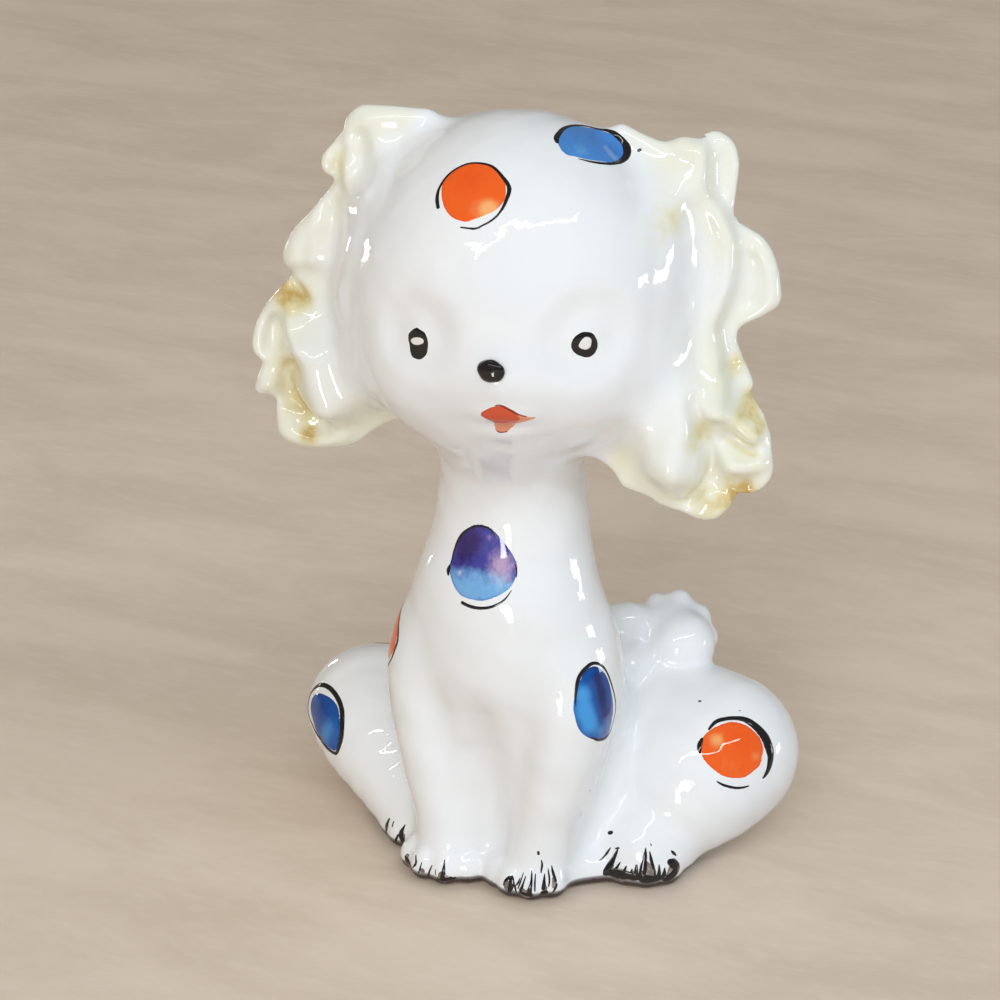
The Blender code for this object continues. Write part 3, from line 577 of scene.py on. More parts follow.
class Clay:
    """A block of clay: a grid of distances in the head's turned frame, in mm."""

    def __init__(self, low, high):
        self.axes = [np.arange(a, b, VOXEL) for a, b in zip(low, high)]
        self.origin = np.array([axis[0] for axis in self.axes])
        self.grid = np.full([len(axis) for axis in self.axes], FAR, np.float32)

    def block(self, form, low, high):
        """A box of the grid, and a form's distances in it."""
        cut = tuple(slice(*np.searchsorted(axis, (a, b))) for axis, a, b in zip(self.axes, low, high))
        x, y, z = (axis[part] for axis, part in zip(self.axes, cut))
        return cut, form(x[:, None, None], y[None, :, None], z[None, None, :]).astype(np.float32)

    def add(self, form, low, high, blend):
        """Joins a form to the clay inside the box from low to high."""
        cut, shape = self.block(form, low, high)
        if callable(blend):
            blend = self.block(blend, low, high)[1]
        self.grid[cut] = smooth_min(self.grid[cut], shape, blend)

    def carve(self, form, low, high, blend):
        cut, shape = self.block(form, low, high)
        self.grid[cut] = smooth_max(self.grid[cut], -shape, np.float32(blend))

    def swell(self, form, low, high):
        """Lifts the surface by a form's own value."""
        cut, shape = self.block(form, low, high)
        self.grid[cut] -= shape

    def soften(self):
        for axis in range(3):
            ahead, behind = np.roll(self.grid, 1, axis), np.roll(self.grid, -1, axis)
            self.grid = (0.5 * self.grid + 0.25 * (ahead + behind)).astype(np.float32)

    def read(self, spots):
        """Distances at spots given in grid steps."""
        spots = np.clip(spots, 0, np.array(self.grid.shape) - 1.001)
        i = spots.astype(int)
        f = spots - i
        total = 0
        for a in (0, 1):
            for b in (0, 1):
                for c in (0, 1):
                    weight = np.abs(1 - a - f[:, 0]) * np.abs(1 - b - f[:, 1]) * np.abs(1 - c - f[:, 2])
                    total = total + weight * self.grid[i[:, 0] + a, i[:, 1] + b, i[:, 2] + c]
        return total

    def lean(self, spots):
        """The way out of the clay at spots, and how fast the distance grows there."""
        ways = np.empty_like(spots)
        for axis, step in enumerate(np.eye(3)):
            ways[:, axis] = (self.read(spots + step) - self.read(spots - step)) / 2
        size = np.linalg.norm(ways, axis=1, keepdims=True) + 1e-9
        return ways / size, size[:, 0]

    def surface(self):
        """Points, quads and outward ways of the clay's surface, in grid steps."""
        volume = openvdb.FloatGrid(FAR)
        volume.copyFromArray(self.grid)
        points, quads = volume.convertToQuads(isovalue=0.0)
        spots = points.astype(float)
        for _ in range(2):
            ways, steep = self.lean(spots)
            spots -= ways * np.clip(self.read(spots) / steep, -0.5, 0.5)[:, None]
        ways, _ = self.lean(spots)
        return spots, quads.astype(np.int64), ways


def turned_box(low, high, margin):
    """A box of the figurine's frame as a box of the turned frame."""
    corners = [to_turned(x, y) for x in (low[0], high[0]) for y in (low[1], high[1])]
    xs, ys = zip(*corners)
    nearest = (min(xs) - margin, min(ys) - margin, low[2] - margin)
    return nearest, (max(xs) + margin, max(ys) + margin, high[2] + margin)


def node_box(node, margin):
    low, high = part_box(node)
    return turned_box([v / MM for v in low], [v / MM for v in high], margin)


RIGHT_EAR = EarSheet(-1, RIGHT_EAR_EDGE, RIGHT_EAR_LIE, RIGHT_EAR_FOLDS)
LEFT_EAR = EarSheet(1, LEFT_EAR_EDGE, LEFT_EAR_LIE, LEFT_EAR_FOLDS, LEFT_EAR_FOLDS[0][0])

# The pieces that the skin is cut into, each with the form that claims it. The frills are cut from the
# ear flaps later.
CLAIMS = {
    "body_casting": torso,
    "head_casting": skull,
    "right_foreleg": partial(foreleg, side=-1),
    "left_foreleg": partial(foreleg, side=1),
    "right_hind_leg": partial(hind_leg, side=-1),
    "left_hind_leg": partial(hind_leg, side=1),
    "right_ear_flap": RIGHT_EAR.form,
    "left_ear_flap": LEFT_EAR.form,
    "tail_stem": tail_stem,
    "tail_pompom": pompom,
}


def hand_waves(x, y, z, broad=0.075, fine=0.022):
    """The slight unevenness of a surface smoothed by hand with a wet sponge."""
    first = np.sin(0.83 * x + 0.31 * z + 0.6) * np.sin(0.61 * y + 1.9) * np.sin(0.71 * z - 0.4 * x)
    second = np.sin(1.45 * x - 0.9 * y) * np.sin(1.3 * z + 0.7 * y + 2.0)
    return broad * first + fine * second


def underside(x, y, z):
    """All that lies below the flat base."""
    return z + 0 * x + 0 * y


def model_clay():
    """The figurine's forms, joined and carved in order, each within a box with room for its blend."""
    low, high = turned_box([v / MM for v in CAD_BOX[0]], [v / MM for v in CAD_BOX[1]], margin=2.5)
    clay = Clay(low, high)

    def join(node, margin, blend):
        clay.add(CLAIMS[node], *node_box(node, margin), blend)

    join("head_casting", margin=3.0, blend=0.01)
    clay.add(RIGHT_EAR.form, (-34.0, -12.0, 46.0), (-4.0, 12.0, 99.0), ear_blend)
    clay.add(LEFT_EAR.form, (4.0, -15.0, 46.0), (34.0, 12.0, 99.0), ear_blend)
    join("body_casting", margin=7.0, blend=7.0)
    clay.add(throat, (-16.0, -22.0, 40.0), (16.0, 9.0, 76.0), blend=6.5)
    for node in ("right_foreleg", "left_foreleg"):
        join(node, margin=5.0, blend=1.8)
    clay.carve(leg_recess, (-16.0, -22.0, -2.0), (16.0, 2.0, 36.0), blend=2.0)
    for node in ("right_hind_leg", "left_hind_leg"):
        join(node, margin=5.0, blend=2.8)
    clay.add(base_webs, (-18.0, -18.0, low[2]), (24.0, 12.0, 8.0), blend=1.6)
    join("tail_stem", margin=8.0, blend=1.8)
    join("tail_pompom", margin=4.0, blend=0.9)
    for paw, (_, _, _, angles) in PAWS.items():
        for angle in angles:
            clay.add(partial(toe, paw=paw, angle=angle), *node_box(paw, margin=3.0), blend=0.8)
    clay.carve(underside, low, (high[0], high[1], 4.0), blend=0.9)
    clay.swell(hand_waves, (low[0], low[1], 3.0), high)
    clay.carve(body_hollow, *node_box("body_casting", margin=3.0), blend=0.6)
    clay.carve(drain_hole, (-15.0, -5.0, low[2]), (15.0, 25.0, 8.0), blend=0.6)
    clay.soften()
    return clay


CLAY = model_clay()
spots, quads, turned_ways = CLAY.surface()
turned = spots * VOXEL + CLAY.origin
skin = carried(turned, to_table)
skin_ways = swung(turned_ways, TURN_SIN)


def volume_sign(points, faces):
    """Positive where the faces of a closed skin point outwards."""
    a, b, c, d = (points[faces[:, i]] for i in range(4))
    halves = [np.einsum("ij,ij->i", a, np.cross(*pair)).sum() for pair in ((b, c), (c, d))]
    return float(sum(halves))


if volume_sign(skin, quads) < 0:
    quads = quads[:, ::-1]


def mended_ways(points, faces, ways, agreement=0.8):
    """Outward ways, taken from the faces where the grid's own way disagrees with them."""
    a, b, c, d = (points[faces[:, i]] for i in range(4))
    normals = np.cross(c - a, d - b)
    total = np.zeros_like(points)
    for i in range(4):
        np.add.at(total, faces[:, i], normals)
    total /= np.linalg.norm(total, axis=1, keepdims=True) + 1e-12
    poor = np.einsum("ij,ij->i", total, ways) < agreement
    return np.where(poor[:, None], total, ways)


skin_ways = mended_ways(skin, quads, skin_ways)


def neighbors(faces):
    """The face across each side of each quad, or itself at an open side."""
    count = len(faces)
    sides = np.stack([faces, np.roll(faces, -1, axis=1)], axis=2).reshape(-1, 2)
    sides.sort(axis=1)
    keys = sides[:, 0] * (faces.max() + 1) + sides[:, 1]
    order = np.argsort(keys, kind="stable")
    same = keys[order][1:] == keys[order][:-1]
    beside = np.repeat(np.arange(count), 4)
    first, second = order[:-1][same], order[1:][same]
    beside[first], beside[second] = second // 4, first // 4
    return beside.reshape(count, 4)


def claimed_faces(rounds=6):
    """The piece that each face of the skin belongs to, as an index into the piece names."""
    names = list(CLAIMS) + ["right_ear_frill", "left_ear_frill"]
    x, y, z = turned[quads].mean(axis=1).T
    owner = np.argmin(np.stack([form(x, y, z) for form in CLAIMS.values()]), axis=0)
    owner[body_hollow(x, y, z) < HOLLOW_NEAR] = 0
    owner[(z < HOLLOW_NEAR) & (drain_hole(x, y, z) < HOLLOW_NEAR)] = 0
    for ear, side in ((RIGHT_EAR, "right"), (LEFT_EAR, "left")):
        flap, frill = names.index(side + "_ear_flap"), names.index(side + "_ear_frill")
        rim = ear.read(ear.edge, ear.side * x, z - HEAD_HEIGHT) > -FRILL_WIDTH
        owner[(owner == flap) & rim] = frill
    # Borders are evened by votes among neighbouring faces
    beside = neighbors(quads)
    for _ in range(rounds):
        votes = np.zeros((len(owner), len(names)), np.int8)
        rows = np.arange(len(owner))
        np.add.at(votes, (rows, owner), 2)
        for side in range(4):
            np.add.at(votes, (rows, owner[beside[:, side]]), 1)
        owner = np.argmax(votes, axis=1)
    return names, owner


def link(name, mesh):
    piece = bpy.data.objects.new(name, mesh)
    bpy.context.scene.collection.objects.link(piece)
    return piece


def plain_mesh(name, points, faces):
    mesh = bpy.data.meshes.new(name)
    mesh.from_pydata(points.tolist(), [], faces.tolist() if isinstance(faces, np.ndarray) else faces)
    mesh.update()
    return mesh


def shell_piece(name, faces, masks):
    """A closed shell: faces of the skin, the same faces further in, and a wall along their border."""
    used, flat = np.unique(faces, return_inverse=True)
    outer = flat.reshape(faces.shape)
    count = len(used)
    inner_points = skin[used] - skin_ways[used] * SKIN_THICKNESS
    points = np.vstack([skin[used], inner_points]) * MM
    sides = np.stack([outer, np.roll(outer, -1, axis=1)], axis=2).reshape(-1, 2)
    keys = np.sort(sides, axis=1)
    keys = keys[:, 0] * count + keys[:, 1]
    _, first, times = np.unique(keys, return_index=True, return_counts=True)
    border = sides[first[times == 1]]
    walls = np.stack([border[:, 1], border[:, 0], border[:, 0] + count, border[:, 1] + count], axis=1)
    mesh = plain_mesh(name, points, np.vstack([outer, outer[:, ::-1] + count, walls]))
    mesh.shade_smooth()
    ways = np.vstack([skin_ways[used], -skin_ways[used]])
    mesh.normals_split_custom_set_from_vertices(ways.tolist())
    for mask, values in masks.items():
        attribute = mesh.attributes.new(mask, "FLOAT", "POINT")
        attribute.data.foreach_set("value", np.tile(values[used], 2).astype(np.float32))
    return link(name, mesh)


def glaze_masks():
    """Where the glaze is tinted, stained, pooled and left off, and where contact shadow is painted above the
    foot, at each point of the skin.
    """
    x, y, z = turned.T
    height = z - HEAD_HEIGHT
    tint, stain = np.zeros(len(x)), np.zeros(len(x))
    for ear in (RIGHT_EAR, LEFT_EAR):
        out = ear.side * x
        near = ramp(height, *TIP_RAMP) * ramp(out, *OUT_RAMP) * ramp(skull(x, y, z), *OFF_HEAD_RAMP)
        low = TINT_LOW * ramp(height, *LOW_RAMP)
        edge = ramp(-ear.read(ear.edge, out, height), *EDGE_RAMP)
        tint = np.maximum(tint, near * (TINT_SHEET + low + (TINT_EDGE + low) * edge))
        for side, at_out, at_height, radius, strength in EAR_STAINS:
            if side == ear.side:
                gap = (out - at_out) ** 2 + (height - at_height) ** 2
                stain += strength * np.exp(-gap / radius**2)
    # Above a hollow the distance to the clay grows more slowly, and under a ridge it falls less
    above = CLAY.read(spots + turned_ways * (POOL_REACH / VOXEL)) - POOL_REACH - CLAY.read(spots)
    below = CLAY.read(spots - turned_ways * (RIDGE_REACH / VOXEL)) + RIDGE_REACH
    return {
        "ear_tint": tint,
        "stain": np.clip(stain, 0, 1),
        "pool": np.clip(-above / POOL_FULL, 0, 1),
        "ridge": np.clip(below / RIDGE_FULL, 0, 1),
        "foot": ramp(z, *FOOT_RAMP),
        # Painted contact shadow and a dark edge line along the base, kept off the faces that look straight
        # down
        "grime": ramp(z, *GRIME_AND_SHADOW_RAMP) * ramp(skin_ways[:, 2], *GRIME_AND_SHADOW_WAY_RAMP),
    }


# Painted marks. Each has a plane of its own: its middle (out, back, height) and the way that it faces, in
# degrees round from straight ahead towards the dog's left and up from level. Fills are (right, up) points,
# brush lines are (right, up, half width), and washes are (right, up, radius, depth), thin where below zero.
DOTS = {
    "forehead": {
        "enamel": "orange", "place": (0.6, -14.0, 90.8), "faces": (0, 46),
        "fill": (
            (-3.5, -0.8), (-3.8, 0.8), (-3.1, 2.1), (-1.8, 3.3), (-0.2, 3.6), (1.3, 3.2), (2.7, 2.2),
            (3.4, 0.6), (3.4, -0.7), (2.5, -2.0), (1.0, -3.0), (-0.2, -3.4), (-1.6, -3.1), (-2.7, -2.2),
        ),
        "lines": ((
            (-3.6, -2.4, 0.16), (-4.1, -1.2, 0.17), (-4.2, 0.1, 0.13), (-3.7, 1.7, 0.11), (-2.8, 2.8, 0.1),
            (-1.7, 3.5, 0.1), (-0.3, 3.7, 0.11), (1.1, 3.5, 0.12), (2.4, 2.6, 0.15), (3.7, 1.3, 0.18),
            (3.8, -0.5, 0.14), (3.5, -1.8, 0.1), (2.9, -2.8, 0.09), (2.0, -3.6, 0.08), (1.2, -4.1, 0.09),
            (-0.5, -4.2, 0.06),
        ),),
        "washes": ((2.3, -1.7, 1.1, -1.1), (0.6, -1.6, 1.3, -0.25), (-1.0, 1.6, 2.4, 0.35)),
    },
    "crown": {
        "enamel": "sky", "place": (9.7, -1.6, 93.4), "faces": (91, 61),
        "fill": (
            (-3.3, 2.7), (-1.9, 3.3), (0.2, 3.4), (2.4, 2.8), (3.8, 1.5), (3.8, -0.5), (3.7, -2.1),
            (3.4, -2.9), (2.3, -3.3), (0.3, -3.1), (-1.1, -2.4), (-2.7, -1.0), (-3.7, 0.3), (-4.2, 1.4),
        ),
        "lines": (
            (
                (-3.4, 2.9, 0.14), (-2.6, 3.4, 0.24), (-1.3, 3.6, 0.22), (0.4, 3.6, 0.18), (2.5, 3.1, 0.16),
                (4.1, 2.1, 0.16), (4.3, 0.6, 0.17), (4.1, -1.1, 0.22), (4.0, -2.5, 0.32), (3.7, -3.2, 0.38),
                (3.0, -3.6, 0.32), (1.7, -3.6, 0.24), (-0.1, -3.2, 0.16), (-1.4, -2.6, 0.14),
                (-2.8, -1.4, 0.12), (-3.9, 0.0, 0.04),
            ),
            ((0.9, -1.5, 0.05), (0.3, -2.1, 0.1), (0.6, -2.7, 0.11), (1.4, -2.9, 0.05)),
        ),
        "washes": ((-2.6, 0.4, 1.4, -0.35), (1.5, 1.2, 2.2, 0.2), (2.4, -2.2, 1.2, 0.3)),
    },
    "chest": {
        "enamel": "violet", "place": (0.0, -10.4, 43.7), "faces": (0, 23),
        "fill": (
            (-3.8, -1.8), (-4.0, -0.2), (-3.3, 2.3), (-2.0, 3.8), (-0.7, 4.4), (0.6, 4.3), (2.0, 3.2),
            (3.3, 1.7), (4.0, 0.2), (3.8, -1.5), (3.0, -2.7), (1.3, -3.8), (-0.4, -4.1), (-2.3, -3.7),
        ),
        "lines": (
            (
                (-4.0, -1.2, 0.05), (-3.9, 0.7, 0.1), (-3.1, 2.8, 0.12), (-1.7, 4.0, 0.11), (-0.4, 4.4, 0.1),
                (0.8, 4.2, 0.1), (1.8, 3.1, 0.1), (3.0, 1.8, 0.09), (4.0, 0.2, 0.07), (4.2, -0.9, 0.03),
            ),
            ((-4.15, -2.1, 0.08), (-4.3, -1.4, 0.21), (-4.1, -0.7, 0.1)),
            (
                (-2.0, -4.8, 0.16), (-0.8, -5.1, 0.16), (0.5, -5.1, 0.15), (1.9, -4.7, 0.12),
                (3.2, -3.7, 0.08), (3.9, -2.4, 0.03),
            ),
        ),
        # The two thin washes on the right are a painted reflection: the violet paled to pinkish lavender
        # where the glaze mirrors light
        "washes": (
            (-1.8, 2.6, 2.2, 0.9), (-2.6, 0.2, 1.6, 0.5), (2.2, 0.6, 1.5, -0.9), (2.8, -1.2, 1.2, -0.6),
            (-2.6, -1.4, 0.35, -1.3), (0.6, 3.3, 0.5, -0.7),
        ),
    },
    "flank": {
        "enamel": "blue", "place": (13.3, -7.6, 27.0), "faces": (60, 8),
        "fill": (
            (-2.6, -1.0), (-2.4, 1.0), (-1.4, 3.0), (-0.3, 3.8), (0.9, 3.5), (2.0, 2.0), (2.6, -0.1),
            (2.9, -2.4), (2.9, -4.4), (2.0, -5.2), (-0.3, -4.5), (-2.0, -3.0),
        ),
        "lines": (
            (
                (-2.6, -0.4, 0.08), (-2.5, 1.5, 0.13), (-1.8, 3.4, 0.19), (-0.4, 4.4, 0.18), (0.8, 4.4, 0.14),
                (1.9, 3.5, 0.11), (2.9, 1.3, 0.1), (3.7, -1.4, 0.09), (4.0, -3.8, 0.09), (3.5, -5.4, 0.11),
                (2.3, -5.9, 0.13), (0.5, -5.4, 0.13), (-1.0, -4.3, 0.05),
            ),
            ((-0.4, -4.6, 0.05), (0.2, -4.5, 0.13), (0.7, -4.9, 0.05)),
        ),
        "washes": (
            (-1.7, 1.4, 1.2, -0.9), (-1.6, -0.8, 1.3, -1.0), (-0.9, -2.8, 1.3, -1.0), (0.7, -4.2, 1.0, -0.5),
            (0.6, 2.8, 1.0, 0.8), (0.9, 1.4, 0.9, 0.7), (1.0, 0.2, 0.9, 0.7), (1.1, -1.0, 0.9, 0.7),
            (1.4, -2.4, 0.9, 0.7),
        ),
    },
    "left_haunch": {
        "enamel": "orange", "place": (26.0, 5.5, 16.3), "faces": (40, 36),
        "fill": (
            (-3.5, 0.6), (-3.0, 1.8), (-1.7, 2.7), (-0.1, 3.1), (1.1, 3.1), (2.4, 2.5), (3.4, 1.4),
            (3.9, 0.4), (3.9, -0.8), (3.2, -2.1), (2.2, -2.7), (1.0, -3.2), (-0.7, -3.0), (-2.0, -2.3),
            (-3.2, -0.8),
        ),
        "lines": (
            (
                (-2.2, 2.9, 0.1), (-1.1, 3.7, 0.19), (0.1, 3.9, 0.2), (1.5, 3.8, 0.22), (2.7, 3.4, 0.28),
                (3.8, 2.4, 0.38), (4.7, 1.1, 0.46), (5.1, -0.2, 0.46), (5.2, -1.4, 0.38), (4.8, -2.7, 0.28),
                (4.2, -3.5, 0.18), (3.7, -3.9, 0.06),
            ),
            ((-3.9, 0.2, 0.1), (-3.7, 1.2, 0.24), (-3.1, 2.1, 0.1)),
            (
                (-2.5, -3.4, 0.06), (-1.6, -4.0, 0.12), (-0.2, -4.5, 0.12), (0.9, -4.6, 0.11),
                (1.8, -4.5, 0.05),
            ),
        ),
        "washes": (
            (-1.5, 1.5, 0.9, -0.9), (1.6, 1.0, 2.2, 0.3), (-0.6, -1.8, 1.5, -0.2), (3.0, -1.2, 0.7, -0.5),
        ),
    },
    "right_haunch": {
        "enamel": "blue", "place": (-25.9, 0.3, 12.7), "faces": (-34, 28),
        "fill": (
            (-3.4, -1.4), (-4.4, -0.2), (-4.3, 1.0), (-3.3, 1.9), (-1.6, 2.3), (0.0, 2.3), (1.5, 1.7),
            (2.7, 0.1), (2.9, -1.6), (2.7, -2.6), (1.9, -2.9), (-0.3, -2.8), (-2.2, -2.2),
        ),
        "lines": ((
            (-4.8, -1.9, 0.1), (-5.8, -0.8, 0.12), (-6.0, 1.0, 0.16), (-4.8, 2.5, 0.2), (-3.3, 3.3, 0.23),
            (-1.2, 3.4, 0.24), (0.8, 2.8, 0.25), (2.3, 1.8, 0.27), (3.2, 0.1, 0.27), (3.4, -1.6, 0.24),
            (2.9, -3.2, 0.18), (1.1, -3.4, 0.2), (-1.3, -3.0, 0.17), (-3.7, -2.3, 0.14), (-5.0, -1.7, 0.08),
        ),),
        "washes": ((-1.6, 0.6, 1.6, 0.5), (1.2, -0.6, 1.6, -0.45), (0.2, -2.0, 1.4, -0.4)),
    },
}
# The sides that the photograph doesn't show have the same dots again
DOTS["right_flank"] = {**DOTS["forehead"], "place": (-12.9, -4.8, 29.4), "faces": (-84, 8)}
DOTS["nape"] = {**DOTS["left_haunch"], "place": (-5.5, 12.8, 84.0), "faces": (-158, 22)}
DOTS["back"] = {**DOTS["chest"], "place": (-1.5, 14.6, 30.0), "faces": (-176, 12)}
DOTS["rear_haunch"] = {**DOTS["crown"], "place": (-20.5, 15.0, 15.0), "faces": (-140, 25)}

EYES = {
    "right_eye": {
        "place": (-3.9, -19.3, 74.2), "faces": (-12, 3),
        "black": (
            (-1.5, 0.2), (-1.4, 0.9), (-0.4, 1.8), (0.3, 1.7), (0.9, 1.4), (1.3, 0.5), (1.3, -0.4),
            (1.1, -1.2), (0.3, -1.9), (-0.7, -1.8), (-1.1, -1.2), (-1.2, -0.6),
        ),
        "white": (
            (-1.15, 0.1), (-0.8, 0.5), (-0.1, 0.8), (0.6, 0.8), (0.9, 0.5), (0.7, 0.1), (-0.1, -0.25),
            (-0.8, -0.25),
        ),
    },
    "left_eye": {
        "place": (13.9, -14.3, 74.9), "faces": (43, 2),
        "black": (
            (-1.6, 0.1), (-1.3, 0.9), (-0.6, 1.4), (0.1, 1.5), (1.0, 1.2), (1.5, 0.5), (1.7, -0.4),
            (1.4, -1.2), (0.8, -1.6), (0.1, -1.6), (-0.8, -1.2), (-1.4, -0.6),
        ),
        "white": (
            (-0.8, 0.0), (-0.5, 0.6), (0.1, 1.0), (0.8, 0.7), (0.9, 0.1), (0.7, -0.5), (0.1, -0.7),
            (-0.6, -0.4),
        ),
    },
}
MOUTH_PLACE, MOUTH_FACES = (6.3, -19.3, 67.0), (19, -29)
# Parts of the mouth: enamel, thickness, outline
MOUTH = {
    "lip_corner": (
        "lip_pale", 0.045,
        ((1.5, 0.4), (2.5, -0.1), (3.6, -0.55), (2.5, -0.9), (1.1, -1.4)),
    ),
    "lower_lip": (
        "lip_pale", 0.05,
        ((-1.0, -1.4), (0.0, -1.2), (1.3, -1.2), (1.0, -2.1), (0.3, -2.7), (-0.6, -2.9), (-1.1, -2.5)),
    ),
    "upper_lip": (
        "lip_red", 0.07,
        (
            (-2.6, 0.0), (-1.9, 1.0), (-1.1, 1.5), (-0.3, 1.7), (0.8, 1.0), (1.7, 0.3), (2.2, -0.3),
            (1.3, -1.3), (0.5, -1.5), (-0.6, -1.5), (-1.2, -1.2),
        ),
    ),
}
MOUTH_LINES = (
    ((-1.0, 1.6, 0.04), (-0.3, 1.75, 0.09), (0.8, 1.05, 0.12), (1.8, 0.3, 0.1), (2.6, -0.1, 0.05)),
    ((-1.3, -1.25, 0.05), (-0.5, -1.5, 0.1), (0.5, -1.45, 0.09), (1.2, -1.3, 0.05)),
    ((-0.9, -2.7, 0.04), (-0.5, -2.9, 0.08), (0.4, -2.7, 0.05)),
)
# Specks burnt into the glaze: place, the way that they face, radius
SPECKS = (
    ((13.4, -2.2, 6.2), (-15, 34), 0.42),
    ((13.8, 2.8, 91.9), (31, 38), 0.3),
    ((20.6, 9.1, 20.1), (-8, 70), 0.24),
    ((25.5, 9.8, 19.4), (43, 59), 0.11),
    ((13.0, -6.8, 14.0), (60, 0), 0.1),
    ((-12.0, 9.0, 34.0), (-110, 10), 0.12),
)
# Claws: strokes down each paw as (degrees round from straight ahead, height, half width)
CLAWS = {
    "right_foreleg": (
        ((-42, 3.2, 0.04), (-43, 2.2, 0.06)),
        ((-27, 3.4, 0.06), (-22, 2.6, 0.14), (-27, 1.7, 0.07)),
        ((-48, 2.2, 0.14), (-42, 1.6, 0.36), (-30, 1.3, 0.24)),
        ((-15, 2.9, 0.05), (-16, 2.0, 0.09), (-18, 1.3, 0.06)),
        ((-2, 2.8, 0.06), (-5, 1.9, 0.12), (-7, 1.0, 0.1)),
        ((3, 2.5, 0.04), (4, 1.7, 0.05)),
        ((13, 3.7, 0.04), (13, 2.7, 0.16), (12, 1.6, 0.26), (10, 0.8, 0.34)),
        ((5, 1.3, 0.14), (12, 1.3, 0.26), (21, 1.4, 0.2), (29, 1.4, 0.06)),
        ((19, 1.7, 0.1), (22, 1.5, 0.14), (25, 1.1, 0.08)),
    ),
    "left_foreleg": (
        (
            (-14, 2.0, 0.08), (-13, 2.5, 0.14), (-10, 3.0, 0.22), (-6, 3.1, 0.3), (-5, 2.4, 0.3),
            (-6, 1.7, 0.26), (-8, 1.2, 0.16),
        ),
        ((5, 3.3, 0.05), (3, 2.7, 0.12), (0, 2.2, 0.06)),
        ((12, 3.6, 0.05), (9, 2.6, 0.12), (6, 1.2, 0.2)),
        ((19, 4.3, 0.05), (19, 3.1, 0.14), (17, 1.9, 0.24), (18, 1.0, 0.24)),
        ((4, 1.5, 0.16), (12, 1.4, 0.26), (21, 1.5, 0.18)),
        ((-3, 2.9, 0.06), (0, 1.9, 0.12), (1, 1.3, 0.08)),
        ((8, 3.9, 0.04), (6, 2.9, 0.09), (3, 1.9, 0.06)),
        ((24, 3.9, 0.05), (23, 2.8, 0.1), (23, 1.8, 0.06)),
        ((41, 4.4, 0.05), (41, 3.2, 0.12), (39, 2.2, 0.06)),
        ((28, 6.8, 0.1), (28, 6.2, 0.16)),
        ((32, 5.6, 0.05), (33, 4.8, 0.12), (31, 3.8, 0.06)),
        ((46, 4.7, 0.06), (47, 3.6, 0.16), (48, 2.7, 0.14)),
        ((49, 2.6, 0.12), (46, 1.9, 0.14), (43, 1.4, 0.06)),
        ((36, 3.8, 0.06), (34, 2.7, 0.2), (33, 1.8, 0.28)),
        ((29, 1.6, 0.16), (34, 1.5, 0.26), (39, 1.6, 0.14)),
    ),
    "right_hind_leg": (
        ((-36, 3.8, 0.1), (-42, 2.4, 0.26), (-45, 1.2, 0.15)),
        ((-27, 3.8, 0.07), (-28, 2.9, 0.1)),
        ((-7, 3.9, 0.06), (-12, 2.6, 0.28), (-8, 1.2, 0.42)),
        ((-16, 2.4, 0.1), (-22, 1.0, 0.16)),
        ((10, 3.6, 0.06), (13, 2.2, 0.1)),
    ),
    "left_hind_leg": (
        ((-28, 4.8, 0.08), (-30, 4.1, 0.14), (-32, 3.2, 0.05)),
        ((-21, 4.9, 0.08), (-14, 5.2, 0.12)),
        ((-16, 5.0, 0.1), (-19, 3.8, 0.26), (-22, 2.6, 0.36), (-24, 1.5, 0.42)),
        ((-9, 3.7, 0.05), (-13, 2.7, 0.2), (-16, 1.7, 0.34)),
        ((-24, 2.0, 0.3), (-19, 2.0, 0.42), (-12, 2.1, 0.5), (-3, 2.2, 0.52), (6, 2.1, 0.5), (14, 2.0, 0.36)),
        ((-1, 3.4, 0.08), (-3, 2.6, 0.2), (-5, 1.7, 0.36)),
        ((6, 3.1, 0.08), (5, 2.4, 0.2), (3, 1.6, 0.36)),
        ((11, 3.7, 0.1), (11, 2.7, 0.26), (12, 1.6, 0.4)),
        ((22, 5.7, 0.05), (21, 4.5, 0.24), (19, 3.2, 0.38), (17, 1.8, 0.5)),
        ((13, 2.1, 0.36), (20, 2.0, 0.5), (28, 1.9, 0.5), (36, 1.9, 0.36), (44, 1.9, 0.3)),
        ((27, 5.3, 0.06), (29, 4.1, 0.2), (31, 2.8, 0.26), (32, 1.6, 0.3)),
        ((38, 3.7, 0.05), (38, 2.8, 0.18), (37, 1.8, 0.3)),
        ((45, 3.2, 0.06), (44, 2.4, 0.22), (42, 1.6, 0.34)),
        ((49, 3.9, 0.2), (56, 3.4, 0.5), (61, 2.7, 0.5), (56, 2.1, 0.5), (49, 1.7, 0.45), (42, 1.4, 0.2)),
        ((56, 5.0, 0.06), (59, 4.6, 0.16), (63, 4.1, 0.05)),
        ((29, 6.1, 0.04), (30, 5.8, 0.06)),
    ),
}
